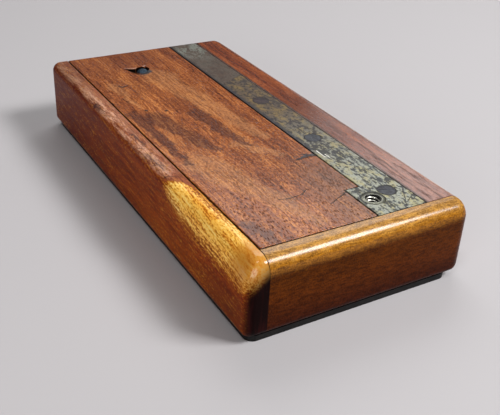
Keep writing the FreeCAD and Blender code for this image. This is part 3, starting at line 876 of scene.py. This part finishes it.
def shades(value, stops):
    """Colour ramp over a value; stops are (place, colour) pairs."""
    made = new_node(value.tree, "ValToRGB", {0: value})
    ramp = made.color_ramp.elements
    while len(ramp) < len(stops):
        ramp.new(0.5)
    for element, (place, colour) in zip(ramp, stops):
        element.position = place
        element.color = colour
    return Value(value.tree, made.outputs[0])


def stretched(place, across, along):
    """The place in pattern cells that are across wide and along long, with the grain along Y."""
    return vector("MULTIPLY", place, (1 / across, 1 / along, 1 / across))


def moved(place, turn=0.0, shift=(0.0, 0.0, 0.0), dip=0.0):
    """The place turned about Z, dipped about X and shifted, so that each board has its own grain."""
    angles = (math.radians(dip), 0.0, math.radians(turn))
    return add("Mapping", {"Vector": place, "Rotation": angles, "Location": shift})


def noise(place, detail, roughness=0.5):
    """Cloudy value from 0 to 1 with one cell to the unit."""
    return add("TexNoise", {"Vector": place, "Scale": 1.0, "Detail": detail, "Roughness": roughness})


def shaken(place, cells, reach):
    """The place moved about by a slow noise over its cells; reach is how far, from one side to the other."""
    wander = add("TexNoise", {"Vector": cells, "Scale": 1.0, "Detail": 2.0}, 1)
    centred = vector("SUBTRACT", wander, (0.5, 0.5, 0.5))
    return vector("ADD", place, vector("MULTIPLY", centred, reach))


def effect(name, inputs, outputs):
    """An empty node group with a place, named inputs and number outputs: its tree, its inputs, its end."""
    tree = bpy.data.node_groups.new(name, "ShaderNodeTree")
    inputs = {"Place": (0.0, 0.0, 0.0), **inputs}
    for label, value in inputs.items():
        kind = "NodeSocketVector" if isinstance(value, tuple) else "NodeSocketFloat"
        tree.interface.new_socket(label, in_out="INPUT", socket_type=kind).default_value = value
    for label in outputs:
        tree.interface.new_socket(label, in_out="OUTPUT", socket_type="NodeSocketFloat")
    start = tree.nodes.new("NodeGroupInput").outputs
    given = {label: Value(tree, start[label]) for label in inputs}
    return tree, given, tree.nodes.new("NodeGroupOutput").inputs


def use(group, place, **values):
    """The outputs of a node group put beside a place with its own values."""
    made = place.tree.nodes.new("ShaderNodeGroup")
    made.node_tree = group
    for label, value in {"Place": place, **values}.items():
        give(made.inputs[label], value)
    return {output.name: Value(place.tree, output) for output in made.outputs}


def wood_grain_group():
    """Hardwood figure along Y, slightly bent: bands, fibre of threads and short grit, open pores, height."""
    tree, given, out = effect("wood_grain", {"Pores": 0.5}, ["Bands", "Fibre", "Pores", "Height"])
    place = given["Place"]
    bent = shaken(place, stretched(place, 22.0, 60.0), (4.0, 0.0, 4.0))
    bands = noise(stretched(bent, 3.6, 60.0), 4.0, 0.6)
    threads = noise(stretched(bent, 0.6, 9.0), 3.0, 0.6)
    grit = noise(stretched(bent, 0.42, 1.1), 2.0, 0.6)
    fibre = threads * 0.5 + grit * 0.5
    cells = stretched(bent, 0.5, 2.0)
    dashes = add("TexVoronoi", {"Vector": cells, "Scale": 1.0, "Randomness": 1.0}, "Distance")
    crowd = noise(stretched(bent, 4.0, 20.0), 2.0)
    width = crowd * 0.62 * given["Pores"]
    pores = rise(dashes, width + 0.06, width * 0.55)
    give(out["Bands"], rise(bands, 0.32, 0.68))
    give(out["Fibre"], rise(fibre, 0.36, 0.64))
    give(out["Pores"], pores)
    give(out["Height"], fibre * 0.4 - pores * 0.6)
    return tree


def handling_group():
    """Marks of handling: rubbed patches, thin scratches across and along, and small dark specks."""
    tree, given, out = effect("handling", {"Size": 8.0}, ["Patches", "Scratches", "Specks"])
    place = given["Place"]
    patches = noise(vector("DIVIDE", stretched(place, 1.0, 1.8), given["Size"]), 6.0, 0.62)
    scratches = [
        rise(noise(stretched(moved(place, angle), across, along), 1.0), 0.7, 0.76)
        for angle, across, along in ((24, 0.35, 13.0), (-38, 0.3, 9.0), (81, 0.35, 10.0))
    ]
    specks = noise(stretched(place, 0.55, 0.8), 2.0)
    give(out["Patches"], rise(patches, 0.42, 0.66))
    give(out["Scratches"], greatest(*scratches))
    give(out["Specks"], rise(specks, 0.66, 0.78))
    return tree


def tarnish_group():
    """Tarnish on metal: patches, blotches drawn out along Y that crowd in places, and fine pits."""
    tree, given, out = effect("tarnish", {"Size": 1.0}, ["Clouds", "Blotches", "Pits"])
    place = vector("DIVIDE", given["Place"], given["Size"])
    clouds = noise(stretched(place, 2.6, 4.2), 4.0, 0.6)
    crowd = noise(stretched(place, 6.0, 10.0), 2.0)
    large = noise(stretched(place, 1.5, 2.8), 3.0)
    small = noise(stretched(place, 0.7, 1.3), 2.0)
    spots = large * 0.45 + small * 0.55 + (crowd - 0.5) * 0.35
    pits = noise(stretched(place, 0.45, 0.7), 3.0, 0.7)
    give(out["Clouds"], rise(clouds, 0.44, 0.62))
    give(out["Blotches"], rise(spots, 0.45, 0.56))
    give(out["Pits"], rise(pits, 0.5, 0.66))
    return tree


def line_mark_group():
    """One worn line seen from above: the distance to the straight way from Start to End against a width.

    The way wavers by a slow noise, and the width thins out towards the end.
    """
    settings = {"Start": (0.0, 0.0, 0.0), "End": (0.0, 1.0, 0.0), "Width": 0.6, "Waver": 0.6}
    tree, given, out = effect("line_mark", settings, ["Mask"])
    cell = greatest(given["Width"] * 0.6, 1.1)
    at = shaken(given["Place"], vector("DIVIDE", given["Place"], cell), given["Waver"])
    off = vector("MULTIPLY", vector("SUBTRACT", at, given["Start"]), (1.0, 1.0, 0.0))
    way = vector("SUBTRACT", given["End"], given["Start"])
    along = vector("DOT_PRODUCT", off, way, "Value")
    share = calc("DIVIDE", along, vector("DOT_PRODUCT", way, way, "Value"))
    share = add("Clamp", {"Value": share})
    aside = vector("SUBTRACT", off, vector("MULTIPLY", way, share))
    half = given["Width"] * (0.55 - share * 0.3)
    give(out["Mask"], rise(vector("LENGTH", aside, output="Value"), half, half * 0.5))
    return tree


WOOD_GRAIN = wood_grain_group()
HANDLING = handling_group()
TARNISH = tarnish_group()
LINE_MARK = line_mark_group()


def new_material(name):
    """A material, its surface shader's sockets, and the place on the piece in millimetres."""
    material = bpy.data.materials.new(name)
    material.use_nodes = True
    tree = material.node_tree
    origin = Value(tree, new_node(tree, "TexCoord", {}).outputs["Object"])
    return material, tree.nodes["Principled BSDF"].inputs, vector("DIVIDE", origin, (MM, MM, MM))


def mask(place, name):
    """The value of a mask that the piece carries on its points."""
    made = new_node(place.tree, "Attribute", {}, attribute_name=name)
    return Value(place.tree, made.outputs["Fac"])


def lines_mask(place, lines, waver=0.6):
    """Several worn lines together; each has a start and an end in X and Y, and a width."""
    marks = [
        use(LINE_MARK, place, Start=(*start, 0.0), End=(*end, 0.0), Width=width, Waver=waver)["Mask"]
        for start, end, width in lines
    ]
    return greatest(*marks)


def grained(place, stops, pore, pores, fibre):
    """Colour of grained wood, and its grain: a ramp over a mix of bands and fibre, with pores in it."""
    grain = use(WOOD_GRAIN, place, Pores=pores)
    figure = add("Mix", {0: fibre, 2: grain["Bands"], 3: grain["Fibre"]})
    return coats(shades(figure, stops), (grain["Pores"] * 0.75, pore)), grain


def near_half(y):
    """Share of the near half of the box, whose top mirrors the light room: 0 past the middle, 1 near."""
    return rise(y, 10.0, -40.0)


def seam_dirt(across, start, full, z):
    """Share of the dirt in a seam: it rises from start to full towards the seam, and lies near the top."""
    return rise(across, start, full) * rise(z, Z_TOP - 6.0, Z_TOP - 1.0)


def dress(surface, colour, rough, height, depth, **others):
    """Feeds the surface shader: its colour, its roughness, a bump with a depth in millimetres, and others."""
    give(surface["Base Color"], colour)
    give(surface["Roughness"], rough)
    give(surface["Normal"], add("Bump", {"Height": height, "Distance": depth * MM, "Strength": 1.0}))
    for label, value in others.items():
        give(surface[label.replace("_", " ")], value)


# Places of single marks: a start and an end in X and Y, and a width

LID_CHIP = (
    ((12.9, -34.8), (8.8, -34.8), 2.8),
    ((9.8, -34.8), (5.2, -35.8), 2.2),
    ((10.4, -34.0), (8.4, -33.0), 1.4),
)
LID_CRACKS = (
    ((-10.7, -56.5), (-14.3, -55.8), 0.6),
    ((-10.7, -56.5), (-6.0, -56.0), 0.65),
    ((-6.0, -56.0), (-2.8, -53.9), 0.55),
    ((8.1, -60.2), (-1.2, -64.7), 0.65),
    ((-23.0, 45.4), (-24.4, 47.0), 1.2),
    ((-23.0, 45.4), (-20.6, 46.2), 1.2),
    ((-23.9, 20.9), (-23.9, 21.5), 1.6),
    ((-17.0, 17.9), (-17.0, 18.5), 1.4),
)
LID_SHADES = (
    ((-24.0, 14.0), (-15.0, -18.0), 12.0),
    ((-29.5, 20.0), (-28.0, -24.0), 6.0),
    ((-8.0, 12.0), (-4.0, -20.0), 8.0),
    ((-29.5, -64.0), (-26.5, -77.0), 5.0),
)
LID_PALE = (
    ((-24.0, -26.0), (-10.0, -72.0), 16.0),
    ((-6.0, -18.0), (2.0, -30.0), 8.0),
    ((-6.0, 52.0), (4.0, -14.0), 15.0),
    ((-26.0, 48.0), (-25.0, 26.0), 6.0),
)
# Blue-grey laid on the wood round the stud, reaching in front of it
STUD_BLUE_PATCH = (((STUD_X + 0.2, STUD_Y - 3.4), (STUD_X, STUD_Y + 0.6), 5.6),)
EDGE_SMUDGES = (
    ((-37.6, -12.0), (-37.0, -24.0), 3.6),
    ((-38.6, 34.0), (-38.0, 22.0), 2.4),
    ((-36.2, 4.0), (-35.8, -6.0), 1.8),
)
EDGE_SCRATCHES = (
    ((-39.0, -27.4), (-34.0, -31.1), 0.8),
    ((-38.6, -19.0), (-35.2, -22.4), 0.7),
    ((-38.4, -6.0), (-36.0, -8.4), 0.6),
)
STRIP_SCRATCHES = (
    ((25.2, -66.0), (19.2, -75.5), 0.6),
    ((24.9, -71.1), (20.6, -73.8), 0.5),
)
STRIP_GLINTS = (
    ((15.0, -33.0), (15.0, -38.0), 0.5),
    ((16.2, -36.4), (16.2, -39.6), 0.4),
)


# Materials

# Near-black: dirt in seams and cracks, and painted shadow on the notch's wall
GRIME_AND_SHADE = tone(12, 8, 7)
LID_STOPS = [
    (0.08, tone(82, 36, 13)),
    (0.38, tone(134, 68, 29)),
    (0.62, tone(158, 87, 38)),
    (0.92, tone(206, 130, 64)),
]
LEFT_STOPS = [(0.08, tone(86, 26, 3)), (0.5, tone(122, 45, 8)), (0.92, tone(156, 71, 18))]
AMBER_STOPS = [(0.1, tone(126, 66, 12)), (0.5, tone(180, 106, 26)), (0.9, tone(214, 142, 50))]
GOLDEN_STOPS = [(0.1, tone(224, 130, 32)), (0.5, tone(255, 194, 80)), (0.9, tone(255, 224, 136))]
RIGHT_STOPS = [(0.08, tone(84, 30, 10)), (0.5, tone(120, 54, 22)), (0.92, tone(160, 84, 36))]
# End block colour by height: its own amber tone, with painted light on the rounding and painted shade
# darkening towards the foot
END_TONE_AND_SHADE_BY_HEIGHT = [
    (0.1, (0.038, 0.006, 0.002, 1.0)),
    (0.5, (0.09, 0.019, 0.0015, 1.0)),
    (0.77, (0.08, 0.019, 0.001, 1.0)),
    (0.89, (0.34, 0.13, 0.01, 1.0)),
    (0.96, (0.46, 0.22, 0.04, 1.0)),
    (1.0, (0.42, 0.21, 0.055, 1.0)),
]
END_FIGURE = [(0.05, (0.42, 0.38, 0.32, 1.0)), (0.5, (0.92, 0.92, 0.92, 1.0)), (0.95, (1.45, 1.5, 1.5, 1.0))]
END_PORE = (0.3, 0.26, 0.2, 1.0)
BASE_STOPS = [(0.2, tone(7, 6, 6)), (0.6, tone(13, 12, 12)), (0.9, tone(26, 23, 21))]
INNER_STOPS = [(0.2, tone(104, 66, 38)), (0.5, tone(142, 98, 60)), (0.85, tone(172, 128, 84))]
DOWEL_STOPS = [(0.2, tone(178, 142, 96)), (0.5, tone(202, 168, 120)), (0.85, tone(220, 190, 146))]


def lid_wood():
    """Red-brown open-pored lid, clouded pale and dark, cracked and chipped.

    It is greyer at its near right corner and black in its seams. The notch's wall and a crescent in front of
    it are painted black as shadow with dirt in it, its far rim carries a pale painted highlight, and it is
    blue-grey beside the stud.
    """
    material, surface, place = new_material("lid_wood")
    x, y, z = axes(place)
    nearer = near_half(y)
    colour, grain = grained(place, LID_STOPS, tone(40, 19, 11), nearer * 0.3 + 0.68, 0.68)
    marks = use(HANDLING, place, Size=12.0)
    pale = lines_mask(place, LID_PALE, 9.0) * (grain["Fibre"] * 0.5 + 0.2)
    shade = lines_mask(place, LID_SHADES, 7.0) * (grain["Fibre"] * -0.35 + 1.0)
    greyer = rise(x, -12.0, 8.0) * rise(y, -22.0, -56.0)
    seams = rise(z, Z_TOP - 0.14, Z_TOP - 0.42) * rise(y, Y_FAR - 2.4, Y_FAR - 3.4)
    seams = seams * (1.0 - mask(place, "hollow"))
    # The notch's far wall and a crescent in front of it are painted black: painted shadow, with dirt in it
    wall = mask(place, "wall") * rise(x, STUD_X + 1.6, STUD_X - 0.6)
    cracks = lines_mask(place, LID_CRACKS)
    chip = lines_mask(place, LID_CHIP, 1.6)
    colour = coats(
        colour,
        (marks["Patches"] * 0.3, tone(100, 52, 28)),
        (pale * 0.6, tone(202, 144, 92)),
        (shade * 0.8, tone(74, 33, 18)),
        (marks["Specks"] * (nearer * 0.3 + 0.5), tone(44, 22, 16)),
        (greyer * 0.45, tone(98, 72, 54)),
        (rise(y, 48.0, 72.0) * 0.3, tone(104, 54, 38)),
        # Pale painted highlight on the notch's worn far rim
        (mask(place, "lip") * 0.7, tone(196, 150, 124)),
        (lines_mask(place, STUD_BLUE_PATCH, 1.2) * 0.9, tone(52, 64, 72)),
        # Seams and cracks get dirt; the notch's wall gets painted shadow
        (greatest(seams, wall, cracks * 0.85), GRIME_AND_SHADE),
        (chip * 0.92, tone(36, 33, 40)),
    )
    rough = grain["Fibre"] * 0.06 + 0.15 + grain["Pores"] * (nearer * 0.3 + 0.12)
    worn = greatest(marks["Scratches"] * 0.3, cracks, chip)
    height = (grain["Height"] - worn) * (nearer * 0.8 + 1.0)
    dress(surface, colour, rough, height, 0.06, Specular_IOR_Level=0.27)
    return material


def left_wood():
    """Dark red-brown left board: pale along its rounding from rubbing and a painted sheen, golden in the deep
    wear, black on its end grain.
    """
    material, surface, place = new_material("left_side_wood")
    own = moved(place, shift=(40.0, 15.0, 3.0))
    dipped = moved(place, shift=(40.0, 15.0, 3.0), dip=-6.0)
    x, y, z = axes(place)
    colour, grain = grained(own, LEFT_STOPS, tone(58, 22, 12), 0.5, 0.6)
    marks = use(HANDLING, own, Size=2.2)
    amber = rise(z, 15.0, 7.0) * near_half(y)
    low_corner = rise(y, -50.0, -76.0) * rise(z, 17.0, 9.0)
    top = rise(z, Z_TOP - 1.2, Z_TOP - 0.3)
    dull = blend(grain["Fibre"], tone(96, 44, 26), tone(166, 98, 68))

    # Pale band along the top rounding: rubbed wear with a painted sheen laid on it
    edge = greatest(mask(place, "rounding"), top * 0.4) * rise(y, WEAR_START - 2.0, WEAR_START + 5.0)
    broad = noise(stretched(own, 1.4, 9.0), 3.0, 0.6)
    fine = noise(stretched(own, 0.4, 2.2), 3.0, 0.7)
    streaks = rise(broad * 0.5 + fine * 0.5, 0.42, 0.58)
    rubbed_sheen = edge * (streaks * 0.85 + marks["Patches"] * 0.15)
    pale = blend(rise(y, 20.0, 60.0), tone(230, 178, 146), tone(176, 136, 108))
    smudges = lines_mask(place, EDGE_SMUDGES, 3.0) * (1.0 - streaks * 0.6)
    scratches = greatest(lines_mask(place, EDGE_SCRATCHES), marks["Scratches"] * 0.4)

    rubbed_through, laid = grained(dipped, AMBER_STOPS, tone(110, 54, 14), 0.15, 0.65)
    golden, _ = grained(dipped, GOLDEN_STOPS, tone(222, 140, 48), 0.1, 0.5)
    reach = mask(place, "worn") + (laid["Fibre"] - 0.5) * 0.6
    worn = rise(reach, 0.4, 1.1)
    corner = worn * rise(y, Y_NEAR + 15.0, Y_NEAR + 7.0)

    high = z - (x - X_LID) * 0.9
    end = rise(y, Y_NEAR + 2.8, Y_NEAR + 0.3) * rise(high, 29.0, 20.5)
    rings = noise(vector("MULTIPLY", place, (0.7, 0.7, 0.06)), 3.0)
    end_grain = blend(rise(rings, 0.45, 0.7), tone(16, 2, 2), tone(40, 10, 9))
    colour = coats(
        colour,
        (amber * 0.25, tone(158, 82, 24)),
        (rise(y, -20.0, 70.0) * 0.75, tone(78, 18, 16)),
        (low_corner * 0.6, tone(78, 28, 18)),
        (top * 0.8, dull),
        (top * rise(y, 46.0, 70.0) * 0.5, tone(84, 40, 34)),
        (rubbed_sheen * (grain["Fibre"] * 0.6 + 0.4), pale),
        (smudges * 0.75, tone(62, 46, 48)),
        (scratches * 0.6, tone(60, 40, 38)),
        (rise(reach, 0.05, 0.6), rubbed_through),
        (worn, golden),
        (corner * 0.7, tone(174, 102, 24)),
        (end, end_grain),
        (seam_dirt(x, X_LID - 0.42, X_LID - 0.16, z), GRIME_AND_SHADE),
    )
    shine = worn * 0.3 + rise(y, Y_NEAR + 8.0, Y_NEAR + 4.0) * worn * 0.5
    coat = greatest(shine, rubbed_sheen * 0.2) * (1.0 - end)
    height = grain["Height"] - scratches * 0.4
    gloss = {"Specular_IOR_Level": 0.04, "Coat_Weight": coat, "Coat_Roughness": 0.14}
    dress(surface, colour, grain["Fibre"] * 0.12 + 0.3, height, 0.03, **gloss)
    return material


def right_wood(name, turn=0.0):
    """Red-brown right board under a worn gloss: dark-streaked near with a painted pale glare, dirty beside the
    strip.

    Its outer edge is glossy, and painted pale as a highlight where it is rubbed.
    """
    material, surface, place = new_material(name)
    own = moved(place, turn, (-11.0, 70.0, 5.0))
    x, y, _ = axes(place)
    nearer = near_half(y)
    colour, grain = grained(own, RIGHT_STOPS, tone(46, 18, 10), nearer * 0.35 + 0.5, 0.55)
    marks = use(HANDLING, own, Size=5.0)
    redder = rise(y, 26.0, 4.0) * rise(y, -32.0, -12.0)
    # Pale near length: painted glare
    near_glare = rise(y, -26.0, -56.0)
    streaks = rise(noise(stretched(own, 0.9, 11.0), 4.0, 0.6), 0.48, 0.6)
    beside_strip = rise(x, X_STRIP_RIGHT + 1.6, X_STRIP_RIGHT + 0.3)
    rounding = mask(place, "rounding")
    # Outer edge: rubbed wear with a painted highlight on it
    rubbed_sheen = rounding * (marks["Patches"] * 0.6 + 0.5)
    colour = coats(
        colour,
        (redder * 0.5, tone(82, 34, 10)),
        (near_glare * 0.35, tone(184, 152, 142)),
        (streaks * (nearer * 0.6 + 0.1), tone(66, 32, 20)),
        (beside_strip * 0.8, GRIME_AND_SHADE),
        (rubbed_sheen * (rise(y, 0.0, -40.0) * 0.45 + 0.4), tone(232, 200, 182)),
        (marks["Specks"] * 0.5, tone(222, 170, 140)),
    )
    dull = grain["Pores"] * 0.3 + streaks * 0.25
    rough = grain["Fibre"] * 0.08 + 0.15 + dull * nearer
    gloss = {"Specular_IOR_Level": 0.42, "Coat_Weight": rounding * 0.8, "Coat_Roughness": 0.1}
    dress(surface, colour, rough, grain["Height"], 0.045, **gloss)
    return material


def end_wood():
    """Near end with its short grain across, coloured by height partly in its own amber tone and partly with
    painted light and shade: gold on the rounding, brown under it and dark at the foot.
    """
    material, surface, place = new_material("end_wood")
    own = vector("MULTIPLY", moved(place, 90.0, (7.0, 0.0, 9.0)), (1.0, 2.6, 1.0))
    x, y, z = axes(place)
    marks = use(HANDLING, own, Size=4.0)
    uneven = (marks["Patches"] - 0.4) * 0.03
    # Painted light on the rounding and painted shade towards the foot
    by_height = shades(z * (1 / Z_TOP) + uneven, END_TONE_AND_SHADE_BY_HEIGHT)
    figure, grain = grained(own, END_FIGURE, END_PORE, 0.6, 0.8)
    colour = coats(
        blend(1.0, by_height, figure, "MULTIPLY"),
        (marks["Specks"] * 0.5, tone(40, 18, 8)),
        (seam_dirt(y, Y_SEAM - 0.45, Y_SEAM - 0.2, z), GRIME_AND_SHADE),
    )
    coat = mask(place, "rounding") * (rise(x, 40.0, 0.0) * 0.32 + 0.26) + 0.01
    gloss = {"Specular_IOR_Level": 0.04, "Coat_Weight": coat, "Coat_Roughness": 0.18}
    dress(surface, colour, marks["Patches"] * 0.12 + 0.26, grain["Height"], 0.025, **gloss)
    return material


def bare_wood(name, stops, pore, turn=0.0):
    """Planed bare wood inside the box."""
    material, surface, place = new_material(name)
    colour, grain = grained(moved(place, turn), stops, pore, 0.4, 0.6)
    dress(surface, colour, grain["Fibre"] * 0.15 + 0.58, grain["Height"], 0.04)
    return material


def black_base():
    """Near-black base board, rubbed grey-brown along its grain."""
    material, surface, place = new_material("black_base")
    colour, grain = grained(place, BASE_STOPS, tone(6, 5, 5), 0.5, 0.6)
    marks = use(HANDLING, place, Size=16.0)
    colour = coats(colour, (marks["Scratches"] * 0.3, tone(70, 56, 46)))
    rough = marks["Patches"] * 0.2 + 0.36
    dress(surface, colour, rough, grain["Height"], 0.03, Specular_IOR_Level=0.2)
    return material


def brass_colour(place):
    """Colour of the old brass strip and its tarnish: grey-brown far off and pale near, the pale partly tarnish
    and partly painted glare.

    Yellow patches are left in it, with streaky slate blotches over them.
    """
    _, y, _ = axes(place)
    marks = use(TARNISH, place, Size=1.0)
    # Paler towards the near end: partly the metal's tarnish, partly painted glare
    near = rise(y, 6.0, -58.0)
    colour = coats(
        blend(near, tone(86, 71, 55), tone(148, 151, 138)),
        (marks["Clouds"] * 0.8, blend(near, tone(136, 110, 56), tone(162, 154, 108))),
        (marks["Blotches"] * 0.9, blend(near, tone(46, 38, 40), tone(40, 43, 50))),
        (marks["Pits"] * 0.45, tone(52, 46, 44)),
    )
    return colour, marks


def aged_brass():
    """Old brass strip with a dark left border, scratches near the foot and bright dashes on its edge."""
    material, surface, place = new_material("aged_brass")
    x, y, _ = axes(place)
    colour, marks = brass_colour(place)
    width = marks["Clouds"] + (X_STRIP + 1.4)
    border = rise(x, width, width - 0.8) * rise(y, -38.0, -22.0)
    scratches = lines_mask(place, STRIP_SCRATCHES)
    colour = coats(
        colour,
        (border * 0.85, tone(40, 40, 48)),
        (scratches * 0.85, tone(50, 48, 50)),
        (lines_mask(place, STRIP_GLINTS, 0.2), tone(240, 238, 228)),
    )
    rough = marks["Blotches"] * 0.15 + 0.3
    height = 1.0 - (marks["Blotches"] + marks["Pits"] * 0.6 + scratches)
    dress(surface, colour, rough, height, 0.02, Metallic=0.3, Specular_IOR_Level=0.22)
    return material


def grey_metal():
    """Dull grey-brown far length of the strip, with pale flecks at its far end and dark edges."""
    material, surface, place = new_material("grey_metal")
    x, y, _ = axes(place)
    marks = use(TARNISH, place, Size=0.8)
    colour = coats(
        blend(marks["Clouds"], tone(80, 62, 51), tone(64, 49, 41)),
        (marks["Blotches"] * (rise(y, 58.0, 72.0) * 0.75 + 0.2), tone(122, 126, 116)),
        (marks["Pits"] * 0.45, tone(50, 40, 38)),
        (rise(x, X_STRIP + 1.1, X_STRIP + 0.5) * 0.85, tone(34, 33, 38)),
    )
    dress(surface, colour, 0.42, 1.0 - marks["Pits"], 0.02, Metallic=0.25, Specular_IOR_Level=0.15)
    return material


def screw_steel():
    """Dark flush screw heads: purple-brown rust far off, slate steel near, the strip's tarnish on the rim."""
    material, surface, place = new_material("screw_steel")
    _, y, _ = axes(place)
    strip, marks = brass_colour(place)
    ragged = mask(place, "rim") + marks["Pits"] * 0.2
    colour = coats(
        blend(rise(y, 10.0, -20.0), tone(62, 47, 48), tone(68, 70, 76)),
        (marks["Blotches"] * 0.5, tone(38, 34, 38)),
        (marks["Pits"] * 0.5, tone(28, 24, 26)),
        (rise(ragged, 0.45, 0.8) * 0.8, tone(26, 22, 24)),
        (rise(ragged, 0.88, 1.1), strip),
    )
    dress(surface, colour, 0.4, 1.0 - marks["Pits"], 0.03, Metallic=0.3, Specular_IOR_Level=0.2)
    return material


def bush_metal():
    """Worn turned bush: a grey ring, a bore painted black at the thread roots as shade, and thread crests
    painted near-white as highlight.
    """
    material, surface, place = new_material("bush_brass")
    marks = use(TARNISH, place, Size=0.6)
    # Painted shade in the bore's thread roots and painted highlight on its crests
    thread = blend(mask(place, "crest"), tone(8, 8, 8), tone(235, 232, 220))
    colour = coats(
        blend(marks["Clouds"], tone(128, 128, 112), tone(96, 96, 88)),
        (marks["Blotches"] * 0.5, tone(66, 64, 62)),
        (mask(place, "bore"), thread),
    )
    dress(surface, colour, 0.28, 1.0 - marks["Pits"], 0.01, Metallic=0.7)
    return material


def tarnished(name, tones, size, metallic, rough, gloss=0.5):
    """Old metal: bright where it is rubbed, dull in clouds, dark in crowded blotches and pits."""
    bright, dull, dark = tones
    material, surface, place = new_material(name)
    marks = use(TARNISH, place, Size=size)
    wear = use(HANDLING, place, Size=5.0)
    colour = coats(
        blend(marks["Clouds"], bright, dull),
        (marks["Blotches"] * 0.6, dark),
        (marks["Pits"] * 0.35, dark),
        (wear["Scratches"] * 0.3, bright),
    )
    soiled = marks["Blotches"] * 0.22 + rough
    height = 1.0 - (marks["Blotches"] + marks["Pits"] * 0.6)
    dress(surface, colour, soiled, height, 0.02, Metallic=metallic, Specular_IOR_Level=gloss)
    return material


BLUED_TONES = (tone(62, 78, 92), tone(46, 60, 72), tone(26, 32, 42))
DARK_TONES = (tone(86, 78, 72), tone(52, 46, 44), tone(26, 22, 22))
BRASS_TONES = (tone(190, 172, 116), tone(140, 120, 74), tone(60, 54, 44))
BLUED_STEEL = tarnished("blued_steel", BLUED_TONES, size=0.5, metallic=0.2, rough=0.55, gloss=0.15)
DARK_STEEL = tarnished("dark_steel", DARK_TONES, size=0.6, metallic=0.6, rough=0.48)
TURNED_BRASS = tarnished("turned_brass", BRASS_TONES, size=0.6, metallic=0.9, rough=0.3)
DOWEL = bare_wood("dowel_wood", DOWEL_STOPS, tone(150, 112, 72), 90.0)


# Pieces

new_piece("left_board", left_side_mesh(), left_wood(), "case", "left_side")
new_piece("right_board", right_side_mesh(), right_wood("right_side_wood"), "case", "right_side")
new_piece("end_block", near_end_mesh(), end_wood(), "case", "near_end")
new_piece("lid_board", lid_mesh(), lid_wood(), "lid", "lid_panel", 30)
new_piece("brass_bar", strip_mesh(), aged_brass(), "case", "metal_strip", 30)
new_piece("slide_bar", slide_mesh(), grey_metal(), "slide", "slide_plate", 30)
new_piece("bush", bush_mesh(), bush_metal(), "case", "threaded_bush", 50)
new_piece("screw_heads", screws_mesh(), screw_steel(), "case", "strip_screws", 40)
new_piece("spring_leg", spring_leg_mesh(), BLUED_STEEL, "case", "catch_spring", 30)
leaf = new_piece("spring_leaf", spring_leaf_mesh(), BLUED_STEEL, "case", "catch_spring", 30)
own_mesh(leaf)

KEPT = {
    "far_end": right_wood("far_end_wood", 90.0),
    "base_board": black_base(),
    "lock_rail": bare_wood("inner_wood", INNER_STOPS, tone(70, 42, 26)),
    "near_dowels": DOWEL,
    "far_dowels": DOWEL,
    "base_screws": DARK_STEEL,
    "spring_screws": DARK_STEEL,
    "slide_tee": TURNED_BRASS,
    "button_keeper": TURNED_BRASS,
    "keeper_screws": TURNED_BRASS,
    "release_stud": BLUED_STEEL,
}
for kept_node, kept_material in KEPT.items():
    nodes[kept_node].material_slots[0].material = kept_material


# Stage, in metres and watts

FLOOR_HALF = 3.0
FLOOR_COLOUR = (0.5, 0.48, 0.49, 1.0)
FLOOR_ROUGHNESS = 0.8
ROOM_COLOUR = (1.0, 0.98, 0.97, 1.0)
ROOM_STRENGTH = 0.12
LIGHT_TARGET = (0.0, 0.0, 0.02)
LIGHTS = {
    "key": ((0.54, -0.5, 0.78), (0.36, 0.32), 10.5),
    "window": ((0.46, 0.74, 0.89), (0.88, 0.62), 5.2),
    "side": ((0.95, 0.885, 0.525), (0.42, 0.34), 0.65),
    "lamp": ((-0.364, -0.286, 1.0), (0.2, 0.2), 1.5),
    "fill": ((-1.2, -1.0, 0.4), (1.0, 0.7), 10.5),
}
VIEW_PLACE = (-0.129646, -0.228423, 0.145662)
VIEW_RIGHT = (0.86605, -0.49780, 0.04635)
VIEW_UP = (0.21810, 0.45960, 0.86093)
VIEW_BACK = (-0.44988, -0.73550, 0.50661)
VIEW_LENS = 57.253
VIEW_SENSOR = 36.0
VIEW_CLIP = 0.01


def turned_to(made, place, right, up, back):
    """Puts a light or the camera at its place, turned to its right, up and back directions."""
    turn = Matrix(np.column_stack([right, up, back]).tolist()).to_4x4()
    made.matrix_world = Matrix.Translation(place) @ turn


def floor():
    """Plain pale floor under the box."""
    half = FLOOR_HALF
    mesh = bpy.data.meshes.new("floor")
    square = [(-half, -half, 0), (half, -half, 0), (half, half, 0), (-half, half, 0)]
    mesh.from_pydata(square, [], [(0, 1, 2, 3)])
    material, surface, _ = new_material("floor")
    give(surface["Base Color"], FLOOR_COLOUR)
    give(surface["Roughness"], FLOOR_ROUGHNESS)
    mesh.materials.append(material)
    new_object("floor", mesh)


def soft_light(name, place, size, power):
    """A rectangular area light that looks at the box."""
    data = bpy.data.lights.new(name, "AREA")
    data.shape = "RECTANGLE"
    data.size, data.size_y = size
    data.energy = power
    back = np.array(place) - np.array(LIGHT_TARGET)
    back = back / np.linalg.norm(back)
    right = np.cross((0.0, 0.0, 1.0), back)
    right = right / np.linalg.norm(right)
    turned_to(new_object(name, data), place, right, np.cross(back, right), back)


def studio():
    """Soft light: the key on the near right, a large window behind on the right, a small light beside it.

    A lamp overhead lights the rounded near edge, a fill stands on the left, and the room is dim and even.
    """
    world = bpy.data.worlds.new("room")
    world.use_nodes = True
    background = world.node_tree.nodes["Background"]
    background.inputs["Color"].default_value = ROOM_COLOUR
    background.inputs["Strength"].default_value = ROOM_STRENGTH
    bpy.context.scene.world = world
    for name, (place, size, power) in LIGHTS.items():
        soft_light(name, place, size, power)


def viewpoint():
    """The camera, with the right, up and back directions that the box's three sets of edges give."""
    data = bpy.data.cameras.new("view")
    data.sensor_width = VIEW_SENSOR
    data.lens = VIEW_LENS
    data.clip_start = VIEW_CLIP
    made = new_object("view", data)
    turned_to(made, VIEW_PLACE, VIEW_RIGHT, VIEW_UP, VIEW_BACK)
    bpy.context.scene.camera = made


floor()
studio()
viewpoint()
bpy.context.scene.view_settings.view_transform = "Standard"
